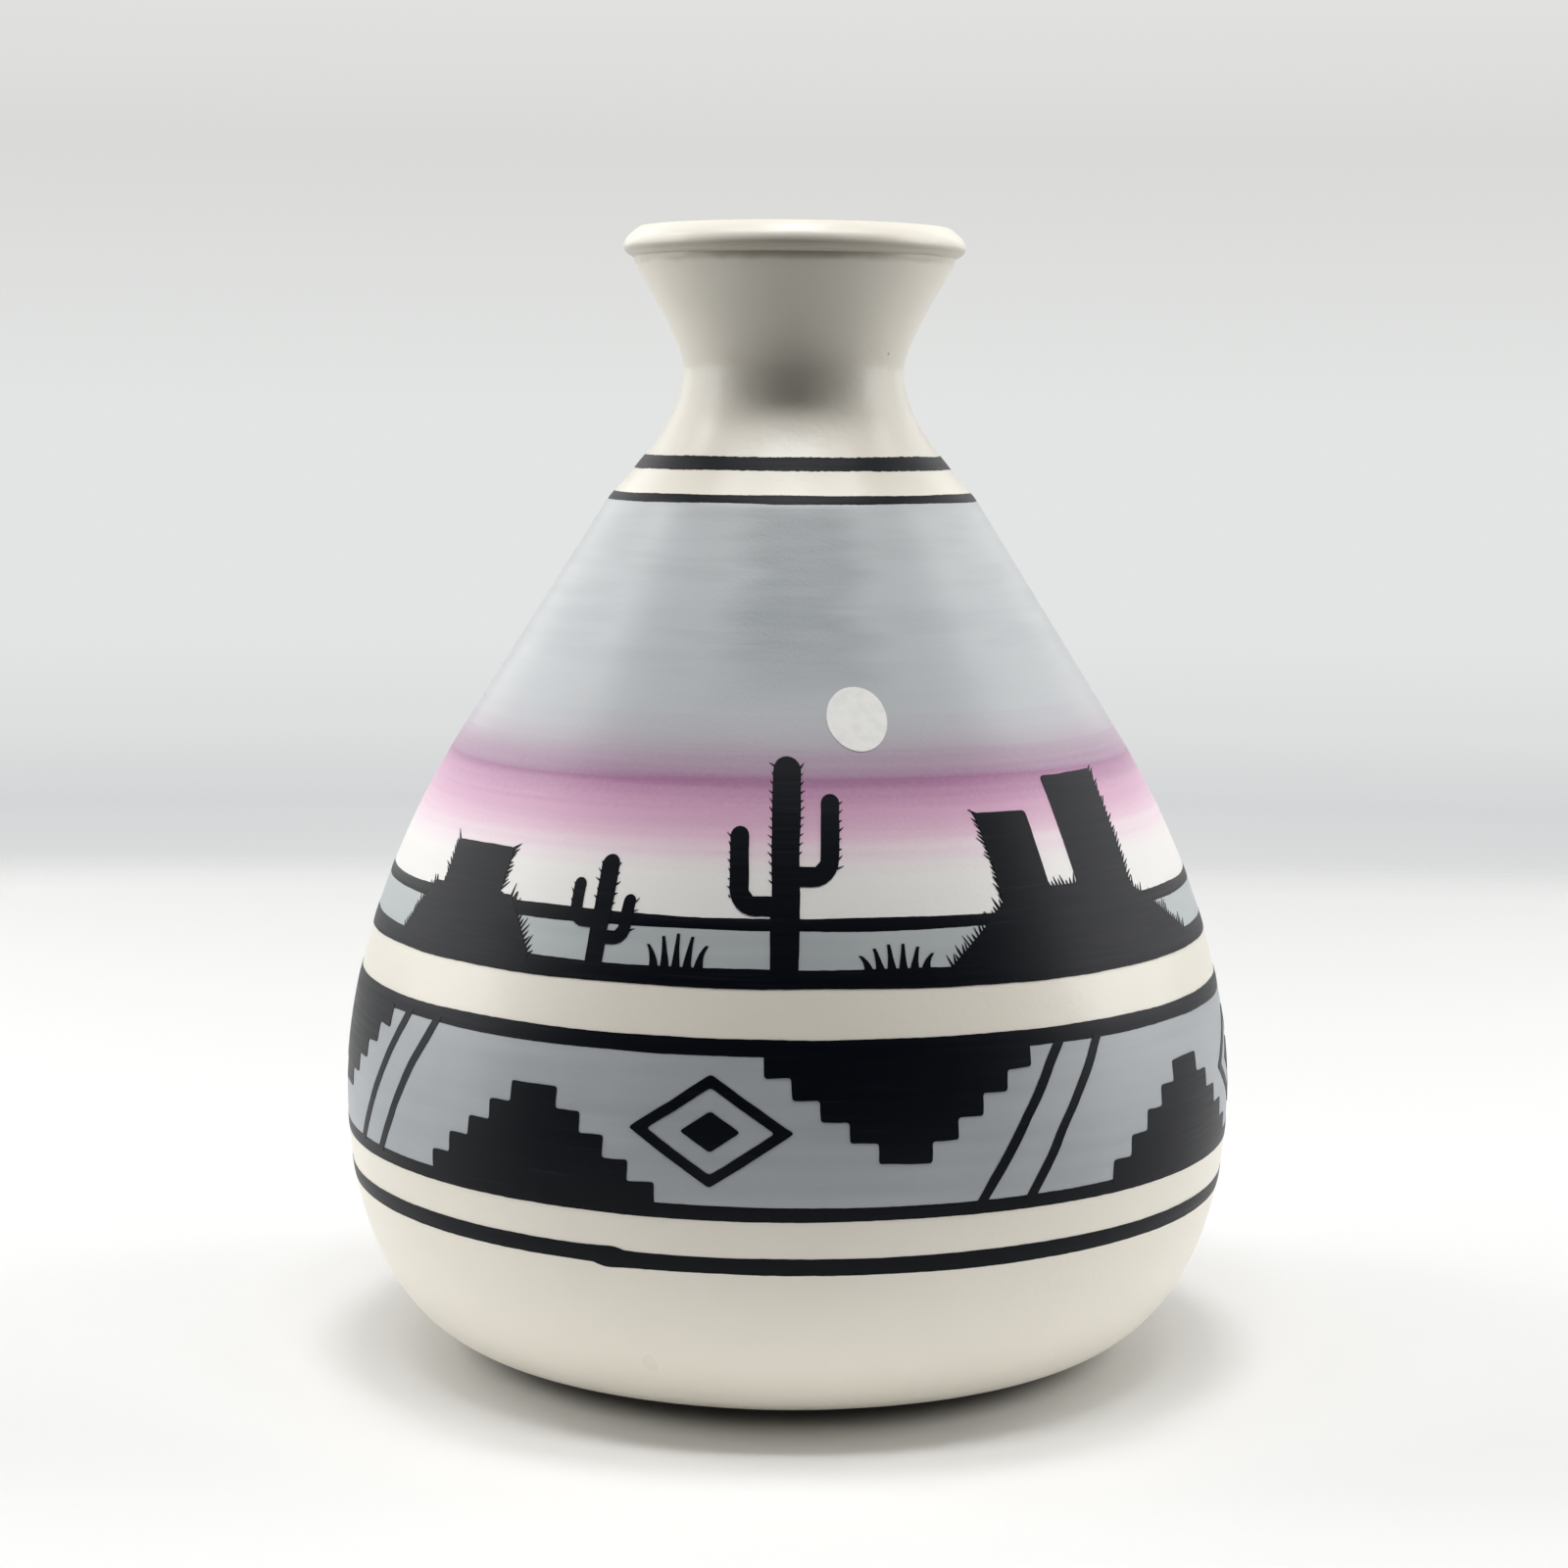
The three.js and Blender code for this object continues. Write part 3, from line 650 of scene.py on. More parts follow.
# %% [markdown]
# ## Laying paint on the clay
# Lines and motifs are drawn flat first: across, upwards and how thick. To lay one on the vase, each point
# shoots a level ray at the clay to find how wide the vase is at its height, and which way the clay faces
# there. Then the point goes round the vase by its distance across, and stands off the clay by its thickness.
# Because the radius is measured on the clay itself, paint follows the belly, the cone and the neck alike.

# %% A node group that lays a flat drawing on the clay
RAY_START = 0.2
RAY_ASIDE = 0.0003

wiring, taken, given = new_tree(
    "lay_on_clay", "Vector", Object=["Clay"], Float=["Turn", "Across", "Height", "Lift"]
)
ray = wiring.node(
    "GeometryNodeRaycast",
    Target_Geometry=wiring.node("GeometryNodeObjectInfo", Object=taken["Clay"])["Geometry"],
    Source_Position=wiring.combine(RAY_ASIDE, -RAY_START, taken["Height"]),
    Ray_Direction=(0.0, 1.0, 0.0),
    Ray_Length=RAY_START,
)
radius = wiring.split(ray["Hit Position"])[1] * -1
_, facing_front, facing_up = wiring.split(ray["Hit Normal"])
lifted = radius - taken["Lift"] * facing_front
turn = taken["Turn"] + taken["Across"] / radius
wiring.plug(given, wiring.around(lifted, turn, taken["Height"] + taken["Lift"] * facing_up))
lay_tree = wiring.tree


def lay(wiring, taken, given, flat, turn, across, height, top, over):
    """Ends a tree: lays a film on the clay, its top over it and its underside a little inside."""
    place = wiring.node(
        "GeometryNodeGroup", {"node_tree": lay_tree}, Clay=taken["Clay"], Turn=turn, Across=across,
        Height=height, Lift=top * (over + SUNK * MM) - SUNK * MM,
    )
    laid = wiring.node("GeometryNodeSetPosition", Geometry=flat, Position=place)
    dress(wiring, laid, taken["Material"], given)
    return wiring.tree


# %% [markdown]
# A flat drawing becomes a closed film by pulling a copy of it up by one unit and joining that to the drawing
# turned upside down. The unit is only a flag: 1 marks the top of the film and 0 its underside, and the real
# thickness is set when it's laid on the clay.


# %% Close a flat drawing into a film
def film(wiring, flat):
    pulled = wiring.node(
        "GeometryNodeExtrudeMesh", Mesh=flat, Offset=(0.0, 0.0, 1.0), Offset_Scale=1.0, Individual=False
    )
    both = wiring.join(pulled, wiring.node("GeometryNodeFlipFaces", Mesh=flat))
    return wiring.node("GeometryNodeMergeByDistance", Geometry=both, Distance=1e-7)


# %% [markdown]
# ## Black lines from the banding wheel
# The potter spins the vase slowly and holds a loaded brush against it. The line comes out nearly level, but
# not quite: it wanders by a few tenths of a millimetre, it's fatter where the brush pressed harder, and where
# it comes round to its own start the two ends overlap in a small blob. The tree does just that. It takes one
# long strip, sends it once round the vase and a little over, and lets slow noises move its middle and its
# width.

# %% The banding line tree
LINE_STEPS = 720
LINE_ROWS = 6
WANDERS = 1.6
PRESSES = 2.3
EDGE_FRAYS = 45.0
ROUND_END = 160.0
BLOB_END = 55.0
wiring, taken, given = new_tree("banding_line", Object=["Clay"], Material=["Material"], Float=[
    "Low", "High", "Start", "Lap", "Drift", "Wander", "Press", "Ragged", "Blob", "Thickness", "Seed",
])
strip = wiring.node(
    "GeometryNodeMeshGrid", Size_X=1.0, Size_Y=1.0, Vertices_X=LINE_STEPS + 1, Vertices_Y=LINE_ROWS
)
x, y, top = wiring.split(wiring.node("GeometryNodeInputPosition"))
share = x + 0.5
side = y * 2
turn = taken["Start"] + share * (taken["Lap"] + TURN)
sine, cosine = wiring.math("SINE", turn), wiring.math("COSINE", turn)
ring = wiring.combine(sine, cosine, taken["Seed"] + share)
drifted = (taken["Low"] + taken["High"]) * 0.5 + x * taken["Drift"]
centre = drifted + wiring.wavering(ring, WANDERS, taken["Wander"])
half = (taken["High"] - taken["Low"]) * 0.5
pressed = half * (1.0 + wiring.wavering(ring, PRESSES, taken["Press"], 2.0))

to_end = 0.5 - wiring.math("ABSOLUTE", x)
tapered = wiring.math("POWER", wiring.math("MULTIPLY", to_end, ROUND_END, clamp=True), 0.5)
near_end = 1.0 - wiring.math("MULTIPLY", to_end, BLOB_END, clamp=True)
rounded_half = (pressed + near_end * taken["Blob"]) * tapered
edge_place = wiring.combine(sine * EDGE_FRAYS, cosine * EDGE_FRAYS, side * 1.5 + taken["Seed"])
ragged = side * wiring.wavering(edge_place, 1.0, taken["Ragged"], 2.0)
height = centre + side * rounded_half + ragged
domed = 1.0 - side * side * 0.4
over = taken["Thickness"] * domed + share * (0.02 * MM)
line_tree = lay(wiring, taken, given, film(wiring, strip), turn, 0.0, height, top, over)

# %% [markdown]
# Seven lines are turned, in the order from the foot to the collar. Each has its own heights, and its own
# hand: the wide ones are steady, the thin ones thicken and thin by turns. The lowest line was made in two
# strokes, so its joint is seen at the front left, and its ends don't quite meet at one height.

# %% Seven black lines
LINES = {
    "belly_line": ("belly_stripe", 22.45, 24.4, -0.42, {"Lap": 0.1, "Drift": 0.32, "Blob": 0.22}),
    "frieze_low_line": ("frieze_lower_stripe", 28.6, 30.2, 2.4, {"Wander": 0.14}),
    "frieze_top_line": ("frieze_upper_stripe", 46.8, 48.7, 2.9, {"Press": 0.24}),
    "ground_line": ("ground_stripe", 54.0, 56.1, 2.2, {"Press": 0.35, "Wander": 0.16}),
    "horizon_line": ("horizon_stripe", 60.2, 61.6, 2.7, {"Press": 0.35, "Wander": 0.14}),
    "collar_low_line": ("collar_lower_stripe", 106.6, 107.6, 1.9, {"Press": 0.25, "Wander": 0.08}),
    "collar_top_line": ("collar_upper_stripe", 110.5, 112.1, 2.6, {"Ragged": 0.14, "Wander": 0.08}),
}
HAND = {"Lap": 0.12, "Drift": 0.1, "Wander": 0.1, "Press": 0.16, "Ragged": 0.06, "Blob": 0.12}
LINE_THICKNESS = 0.08
NOT_LENGTHS = {"Start", "Lap", "Press"}


def banding_line(name, seed, low, high, start, hand):
    values = {"Low": low, "High": high, "Start": start, "Thickness": LINE_THICKNESS, **HAND, **hand}
    values = {label: v if label in NOT_LENGTHS else v * MM for label, v in values.items()}
    values.update({"Clay": vase_clay, "Seed": float(seed), "Material": black_brush_paint})
    piece = finished(name, bpy.data.meshes.new(name), line_tree, values)
    print(f"{name}: {len(piece.data.polygons)} faces, {volume_of(piece.data) * 1000:.1f} mm3")
    return piece


lines = {
    name: (banding_line(name, 3.7 * number + 1, *sizes), [node])
    for number, (name, (node, *sizes)) in enumerate(LINES.items())
}

# %% [markdown]
# ## Brushed motifs
# A motif is drawn as one closed outline in millimetres: across from its own middle, and up from the foot of
# the vase. To bend well round the clay it needs points all over, not just on its edge, so the outline is cut
# into short steps, points are scattered evenly inside it, and a Delaunay triangulation joins them up. The
# points lie close together, because a wide flat triangle would cut through the curved coat under it. Slivers
# without an area, which can arise along a straight edge, are left out.

# %% From an outline to a flat patch
EDGE_STEP = 0.9
INNER_STEP = 1.2
EDGE_KEEP = 0.5
SLIVER = 1e-3


def rounded(points, radius):
    """The closed outline with each corner rounded a little, as a brush leaves it."""
    points = [np.array(p, float) for p in points]
    softened = []
    for before, corner, after in zip(points[-1:] + points, points, points[1:] + points[:1]):
        reach = [min(radius, 0.45 * np.hypot(*(p - corner))) for p in (before, after)]
        start, end = (corner + r * along(corner, p) for r, p in zip(reach, (before, after)))
        softened += [start, *bezier([start, corner, end], 3)]
    return np.array(softened)


def stepped(points, closed=True):
    """The same outline, cut into even steps no longer than EDGE_STEP."""
    cut = []
    ends = np.vstack([points, points[:1]]) if closed else np.array(points, float)
    for a, b in zip(ends, ends[1:]):
        pieces = max(1, math.ceil(np.hypot(*(b - a)) / EDGE_STEP))
        cut += [a + (b - a) * k / pieces for k in range(pieces)]
    if not closed:
        cut.append(ends[-1])
    return np.array(cut)


def inside(places, loops):
    """Which places lie inside the loops, where a loop inside another is a hole."""
    crossings = np.zeros(len(places), int)
    for loop in loops:
        for a, b in zip(loop, np.roll(loop, -1, axis=0)):
            spans = (a[1] > places[:, 1]) != (b[1] > places[:, 1])
            rise = b[1] - a[1] if b[1] != a[1] else 1.0
            meets = a[0] + (places[:, 1] - a[1]) * (b[0] - a[0]) / rise
            crossings += spans & (places[:, 0] < meets)
    return crossings % 2 == 1


def distance_to(places, loops):
    nearest = np.full(len(places), np.inf)
    for loop in loops:
        for a, b in zip(loop, np.roll(loop, -1, axis=0)):
            run = b - a
            share = np.clip(((places - a) @ run) / max(run @ run, 1e-9), 0, 1)
            gap = places - (a + share[:, None] * run)
            nearest = np.minimum(nearest, np.hypot(gap[:, 0], gap[:, 1]))
    return nearest


def flat_patch(name, loops):
    loops = [stepped(loop) for loop in loops]
    every = np.vstack(loops)
    low, high = every.min(axis=0), every.max(axis=0)
    rows = np.arange(low[1], high[1], INNER_STEP * 0.87)
    scattered = np.array([
        (x + (0.5 * INNER_STEP if i % 2 else 0.0), y)
        for i, y in enumerate(rows)
        for x in np.arange(low[0], high[0], INNER_STEP)
    ])
    scattered = scattered[inside(scattered, loops) & (distance_to(scattered, loops) > EDGE_KEEP)]
    edges, start = [], 0
    for loop in loops:
        count = len(loop)
        edges += [(start + k, start + (k + 1) % count) for k in range(count)]
        start += count
    points, _, triangles, *_ = delaunay_2d_cdt(
        [Vector(p) for p in np.vstack([every, scattered])], edges, [], 0, 1e-5
    )
    points = np.array([tuple(p) for p in points])
    corners = points[np.array([list(t) for t in triangles])]
    sides = corners[:, 1:] - corners[:, :1]
    area = 0.5 * (sides[:, 0, 0] * sides[:, 1, 1] - sides[:, 0, 1] * sides[:, 1, 0])
    keeps = inside(corners.mean(axis=1), loops) & (area > SLIVER)
    kept = [t for t, keep in zip(triangles, keeps) if keep]
    used = sorted({index for t in kept for index in t})
    renumbered = {old: new for new, old in enumerate(used)}
    mesh = bpy.data.meshes.new(name)
    mesh.from_pydata(
        [metres(x, y, 0.0) for x, y in points[used]],
        [],
        [[renumbered[index] for index in t] for t in kept],
    )
    return mesh


# %% [markdown]
# Along the slopes of the hills and round the cacti the painter flicked the brush outwards, which leaves short
# tapered ticks. They follow guide lines along the outline. Each guide carries the way its ticks point, and
# the tree below sets a blade at even steps along it, each a little different in length and lean.


# %% Guide lines for brush ticks
def guide_lines(name, guides):
    """Lines in a mesh; each point knows which way a tick leaves it."""
    points, edges, leans = [], [], []
    for line, lean in guides:
        steps = stepped(np.array(line, float), closed=False)
        first = len(points)
        points += [metres(x, y, 0.0) for x, y in steps]
        edges += [(first + k, first + k + 1) for k in range(len(steps) - 1)]
        leans += [(*lean, 0.0)] * len(steps)
    mesh = bpy.data.meshes.new(name)
    mesh.from_pydata(points, edges, [])
    leaning = mesh.attributes.new("lean", "FLOAT_VECTOR", "POINT").data
    leaning.foreach_set("vector", np.array(leans, float).ravel())
    return placed(name, mesh)


# %% [markdown]
# ### The brushed motif tree
# The first half of the tree makes the ticks: a small tapered blade, bent to one side, is set at even steps
# along the guides. Chance makes each one a little longer or thinner than the next and leans it another way.

# %% The brushed motif tree
wiring, taken, given = new_tree(
    "brushed_motif", Geometry=["Drawing"], Object=["Guides", "Clay"], Int=["Copies", "Seed"],
    Material=["Material"], Float=[
        "First turn", "Next turn", "Tick spacing", "Tick length", "Tick width",
        "Sway", "Tremble", "Thickness",
    ],
)
seed = taken["Seed"]
blade = wiring.node("GeometryNodeMeshGrid", Size_X=1.0, Size_Y=1.0, Vertices_X=3, Vertices_Y=6)
x, y, _ = wiring.split(wiring.node("GeometryNodeInputPosition"))
up_blade = y + 0.5
narrowing = wiring.math("POWER", 1.03 - up_blade, 0.75)
bent = wiring.combine(x * narrowing + up_blade * 0.25, up_blade - 0.3)
blade = wiring.node("GeometryNodeSetPosition", Geometry=blade, Position=bent)

guides = wiring.node("GeometryNodeObjectInfo", Object=taken["Guides"])["Geometry"]
spaced = wiring.node(
    "GeometryNodeResampleCurve", {"mode": "LENGTH"},
    Curve=wiring.node("GeometryNodeMeshToCurve", Mesh=guides), Length=taken["Tick spacing"],
)
thinner = wiring.node(
    "GeometryNodeStoreNamedAttribute",
    Geometry=spaced, Name="thinner", Value=wiring.random(0.1, 0.4, seed),
)
lean = wiring.node("GeometryNodeInputNamedAttribute", {"data_type": "FLOAT_VECTOR"}, Name="lean")
stray = wiring.combine(wiring.random(-0.4, 0.4, seed + 11), wiring.random(-0.25, 0.4, seed + 12))
aimed = wiring.node(
    "FunctionNodeAlignRotationToVector", {"axis": "Y", "pivot_axis": "Z"},
    Vector=wiring.vector_math("ADD", lean, stray),
)
tick_size = wiring.combine(
    taken["Tick width"] * wiring.random(0.7, 1.25, seed),
    taken["Tick length"] * wiring.random(0.45, 1.3, seed + 5),
    1.0,
)
ticks = wiring.node(
    "GeometryNodeInstanceOnPoints", Points=thinner, Instance=blade, Rotation=aimed, Scale=tick_size
)
drawing = wiring.join(taken["Drawing"], wiring.node("GeometryNodeRealizeInstances", Geometry=ticks))

# %% [markdown]
# The second half joins the drawing and its ticks, closes them into a film, and repeats it for as many copies
# as the motif has round the vase. Every copy is then shaken by its own slow noise, because no two motifs
# painted by hand are the same, and laid on the clay.

# %% Copies, each shaken and laid on the clay
SLOW_SHAKE = 150
FAST_SHAKE = 850
spots = wiring.node("GeometryNodeMeshLine", Count=taken["Copies"], Offset=(0.0, 0.0, 0.0))
numbered = wiring.node(
    "GeometryNodeStoreNamedAttribute",
    Geometry=spots, Name="copy", Value=wiring.node("GeometryNodeInputIndex"),
)
copies = wiring.node(
    "GeometryNodeInstanceOnPoints", Points=numbered, Instance=film(wiring, drawing)
)
real_copies = wiring.node("GeometryNodeRealizeInstances", Geometry=copies)
copy = wiring.node("GeometryNodeInputNamedAttribute", Name="copy")
thinned = wiring.node("GeometryNodeInputNamedAttribute", Name="thinner")
x, y, top = wiring.split(wiring.node("GeometryNodeInputPosition"))
luck = copy * 0.053 + seed * 0.0171


def shaken(value, place):
    slow = wiring.wavering(place, SLOW_SHAKE, taken["Sway"])
    return value + (slow + wiring.wavering(place, FAST_SHAKE, taken["Tremble"]))


across = shaken(x, wiring.combine(x, y, luck))
height = shaken(y, wiring.combine(x + 0.4, y, luck))
turn = taken["First turn"] + copy * taken["Next turn"]
over = taken["Thickness"] * (1.0 - thinned)
motif_tree = lay(wiring, taken, given, real_copies, turn, across, height, top, over)

# %% Paint a motif
TICKS = {"Tick spacing": 0.55, "Tick length": 1.5, "Tick width": 0.42}
SHAKE = {"Sway": 0.2, "Tremble": 0.05, "Thickness": 0.11}


def motif(
    name, loops, seed, first_turn, guides=(), material=black_brush_paint, copies=1, next_turn=0.0, **sizes
):
    guide = guide_lines(name + "_guides", guides)
    values = {label: v * MM for label, v in {**TICKS, **SHAKE, **sizes}.items()}
    values.update({
        "Clay": vase_clay, "Guides": guide, "Copies": copies, "Seed": seed, "Material": material,
        "First turn": first_turn, "Next turn": next_turn,
    })
    piece = finished(name, flat_patch(name + "_flat", loops), motif_tree, values)
    bpy.data.objects.remove(guide)
    print(f"{name}: {len(piece.data.polygons)} faces, {volume_of(piece.data) * 1000:.1f} mm3")
    return piece

# %% [markdown]
# ## The desert skyline
# Flat-topped hills, two rock towers, column cacti and tufts of grass stand in a row on the ground line. They
# are flat black shapes against the sprayed sky. Each is placed by the gap to its left neighbour, as a painter
# works round a vase, so none of them can run into the next one.

# %% Sizes of the skyline, over the ground line
GROUND = 54.2
FOOT_LINE = GROUND + 0.6
SLOPE_FOOT = GROUND + 1.9
SCENE_LEFT = -57.0
CORNER = 0.5
UP_SLOPE, UP_WALL, OUTWARDS = (0.45, 1.0), (1.0, 0.8), (1.0, 0.7)


def arc(middle, radius, first, last, steps):
    angles = np.linspace(first, last, steps + 1)
    return [(middle[0] + radius * math.cos(a), middle[1] + radius * math.sin(a)) for a in angles]


def mirrored(points):
    return [(-x, y) for x, y in points[::-1]]


def mesa(base, top, height, ledge, ledge_width):
    right = [
        (base / 2, FOOT_LINE), (base / 2, SLOPE_FOOT), (ledge_width / 2, GROUND + ledge),
        (top / 2, GROUND + ledge), (top / 2, GROUND + height),
    ]
    left = mirrored(right)
    guides = [
        ([right[1], right[2]], (0.45, 1.0)),
        ([right[3], right[4]], (1.0, 0.8)),
        ([left[0], left[1]], (-1.0, 0.8)),
        ([left[2], left[3]], (-0.45, 1.0)),
    ]
    return [rounded(right + left, CORNER)], guides, base / 2, base / 2


def buttes(base, slope, saddle, left_tower, right_tower):
    points = [
        (-base / 2, FOOT_LINE), (base / 2, FOOT_LINE), (base / 2, SLOPE_FOOT),
        (right_tower[1], GROUND + slope), (right_tower[1], GROUND + right_tower[2]),
        (right_tower[0], GROUND + right_tower[2]), (right_tower[0], GROUND + saddle),
        (left_tower[1], GROUND + saddle), (left_tower[1], GROUND + left_tower[2]),
        (left_tower[0], GROUND + left_tower[2]), (left_tower[0], GROUND + slope),
        (-base / 2, SLOPE_FOOT),
    ]
    leans = {2: (0.45, 1.0), 3: (1.0, 0.9), 6: (0.0, 1.0), 9: (-1.0, 0.9), 10: (-0.45, 1.0)}
    guides = [([points[k], points[k + 1]], lean) for k, lean in leans.items()]
    return [rounded(points, CORNER)], guides, base / 2, base / 2


def cactus_arm(trunk, arm, bend, reach, elbow, tip):
    under, over = GROUND + elbow - arm, GROUND + elbow + arm
    return [
        (-trunk, under),
        *arc((bend - reach - arm, under + bend), bend, -math.pi / 2, -math.pi, 6),
        *arc((-reach, GROUND + tip), arm, math.pi, 0, 8),
        (arm - reach, over + arm * 0.6), (arm - reach + arm * 0.5, over),
        (-trunk, over),
    ]


def cactus(height, trunk, arm, bend, left, right):
    half, half_arm = trunk / 2, arm / 2
    arms = [cactus_arm(half, half_arm, bend, *sizes) for sizes in (left, right)]
    points = [
        (-half, FOOT_LINE), *arms[0], *arc((0, GROUND + height - half), half, math.pi, 0, 10),
        *mirrored(arms[1]), (half, FOOT_LINE),
    ][::-1]
    far_left, far_right = left[0] + half_arm, right[0] + half_arm
    spines = [
        ([(-half, GROUND + left[1] + 2.5), (-half, GROUND + height - 1)], (-1.0, 0.7)),
        ([(half, GROUND + height - 1), (half, GROUND + right[1] + 2.5)], (1.0, 0.7)),
        ([(-far_left, GROUND + left[1] + 1), (-far_left, GROUND + left[2])], (-1.0, 0.7)),
        ([(far_right, GROUND + right[2]), (far_right, GROUND + right[1] + 1)], (1.0, 0.7)),
    ]
    return [np.array(points)], spines, far_left, far_right


def grass(blades, width, height, tip=0.35, lean=0.8, drop=0.35):
    step = width / blades
    points = [(-width / 2, FOOT_LINE)]
    reached = width / 2
    for blade in range(blades):
        root = -width / 2 + blade * step
        middle = root + step / 2
        fan = 2 * middle / width
        end = (middle + lean * fan * step, GROUND + height * (1 - drop * fan * fan))
        bend = (middle + 0.1 * fan * step, GROUND + height * 0.62)
        for start, bend_x, finish in (
            ((root + 0.1 * step, SLOPE_FOOT), bend[0] - 0.22 * step, (end[0] - tip / 2, end[1])),
            ((end[0] + tip / 2, end[1]), bend[0] + 0.22 * step, (root + 0.9 * step, SLOPE_FOOT)),
        ):
            points += [start, *map(tuple, bezier([start, (bend_x, bend[1]), finish], 5))]
        reached = max(reached, abs(end[0]) + tip / 2)
    points.append((width / 2, FOOT_LINE))
    return [np.array(points[::-1])], [], reached, reached


# %% The skyline from left to right: piece, solid, gap and shape
SKYLINE = [
    ("left_hill", "left_mesa", 0.0, mesa(25, 11, 13, 8, 15)),
    ("little_cactus", "small_cactus", 5.0, cactus(13.5, 2.2, 1.5, 2.0, (3.4, 6.2, 10.0), (3.2, 4.6, 8.6))),
    ("left_grass", "left_grass_clump", 2.5, grass(5, 6.5, 5.4)),
    ("great_cactus", "tall_cactus", 2.5, cactus(24.5, 3.2, 2.1, 3.0, (5.2, 8.6, 16.0), (4.9, 11.8, 19.6))),
    ("right_grass", "right_grass_clump", 2.5, grass(6, 8.0, 4.6)),
    ("rock_towers", "twin_buttes", 2.5, buttes(42, 8.4, 9.6, (-12.5, -5.5, 18.0), (-1.0, 9.0, 21.5))),
    ("back_hill", "back_mesa", 62.0, mesa(34, 19, 10.5, 5.8, 24)),
    ("far_cactus", "back_cactus", 10.0, cactus(17, 2.6, 1.7, 2.4, (4.1, 7.0, 12.2), (4.1, 8.6, 14.0))),
]
SPINES = {"Tick length": 0.7, "Tick width": 0.24, "Tick spacing": 0.9}

# %% Brush the skyline
pieces = {"vase_clay": (vase_clay, ["clay_body"])}
ground_radius = clay_radius(GROUND)
reached = SCENE_LEFT
for seed, (name, node, gap, (loops, guides, left, right)) in enumerate(SKYLINE, start=3):
    middle = reached + gap + left
    reached = middle + right
    ticks = SPINES if "cactus" in name else {}
    pieces[name] = (motif(name, loops, seed, middle / ground_radius, guides, **ticks), [node])

# %% [markdown]
# The low sun is one dab of thick white between the tall cactus and the towers.

# %% The sun
SUN_PLACE = 10.5
SUN_RISE = 28.5
SUN_RADIUS = 3.5
SUN_SEED = 21
sun_edge = np.array(arc((0, GROUND + SUN_RISE), SUN_RADIUS, 0, TURN, 36)[:-1])
sun = motif(
    "low_sun", [sun_edge], SUN_SEED, SUN_PLACE / ground_radius, material=pale_sun_paint, Sway=0.12
)
pieces["low_sun"] = (sun, ["pale_sun"])

# %% [markdown]
# ## The frieze
# The band round the belly carries an old and common kind of pattern: stepped terraces that stand on the lower
# line or hang from the upper one, a diamond with a filled heart, and a pair of slanting strokes. A quarter of
# the way round it starts again, so the tree makes each motif once and repeats it four times.

# %% Frieze grid
FRIEZE_LOW = 30.1
FRIEZE_HIGH = 47.0
FRIEZE_RISE = FRIEZE_HIGH - FRIEZE_LOW
REPEATS = 4
REPEAT = TURN * BELLY[0] / REPEATS
COLUMN = REPEAT / 28
ROW = FRIEZE_RISE / 7
FRIEZE_START = -46.0
INTO_LINE = 0.5
STROKE = 1.2
TERRACE_STEPS = 5


def terrace(edge, column, row, into):
    left = []
    for step in range(TERRACE_STEPS):
        x = -(TERRACE_STEPS - step) * column
        left += [(x, edge + step * row if step else edge - into), (x, edge + (step + 1) * row)]
    return left + mirrored(left)


def diamond(width, height):
    middle = (FRIEZE_LOW + FRIEZE_HIGH) / 2
    return [(-width, middle), (0, middle - height), (width, middle), (0, middle + height)]


def slant(lean):
    half = STROKE / 2 * math.hypot(lean, FRIEZE_RISE) / FRIEZE_RISE
    share = INTO_LINE / FRIEZE_RISE
    low, high = FRIEZE_LOW - INTO_LINE, FRIEZE_HIGH + INTO_LINE
    return [
        (-half - share * lean, low), (half - share * lean, low),
        (lean * (1 + share) + half, high), (lean * (1 + share) - half, high),
    ]


def counted(points):
    """The outline run so that its inside is on the left."""
    points = np.array(points, float)
    following = np.roll(points, -1, axis=0)
    area = (points[:, 0] * following[:, 1] - following[:, 0] * points[:, 1]).sum()
    return points if area > 0 else points[::-1]


wide, tall = 3 * COLUMN, 2.6 * ROW
inner = 1 - STROKE * math.hypot(wide, tall) / (wide * tall)
slanted = [slant(3.4 * COLUMN)]
FRIEZE = {
    "low_terraces": ("frieze_low_terrace", 5, [terrace(FRIEZE_LOW, COLUMN, ROW, INTO_LINE)]),
    "hanging_terraces": ("frieze_hanging_terrace", 19, [terrace(FRIEZE_HIGH, COLUMN, -ROW, -INTO_LINE)]),
    "diamonds": ("frieze_diamond", 12, [diamond(wide, tall), diamond(wide * inner, tall * inner)]),
    "diamond_hearts": ("frieze_diamond_heart", 12, [diamond(wide * 0.36, tall * 0.36)]),
    "left_slants": ("frieze_left_slant", 22, slanted),
    "right_slants": ("frieze_right_slant", 24, slanted),
}

# %% Brush the frieze
for seed, (name, (node, column, drawn)) in enumerate(FRIEZE.items(), start=31):
    loops = [rounded(list(counted(loop)), 0.4) for loop in drawn]
    made = motif(
        name, loops, seed, (FRIEZE_START + column * COLUMN) / BELLY[0],
        copies=REPEATS, next_turn=TURN / REPEATS, Sway=0.12 if "diamond" in name else 0.32,
    )
    pieces[name] = (made, [f"{node}_{number}" for number in range(1, REPEATS + 1)])

# %% [markdown]
# ## What stands for what
# Every piece here takes the place of one or more solids of the finished model.

# %% Bind the pieces to the model
pieces.update(coats)
pieces.update(lines)
for name, (made, nodes) in pieces.items():
    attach(made, "root")
    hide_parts(*nodes)
    finish = next(material for material in made.data.materials if material)
    finish.name.split(".")[0]
print(len(pieces), "pieces stand for", sum(len(nodes) for _, nodes in pieces.values()), "solids")

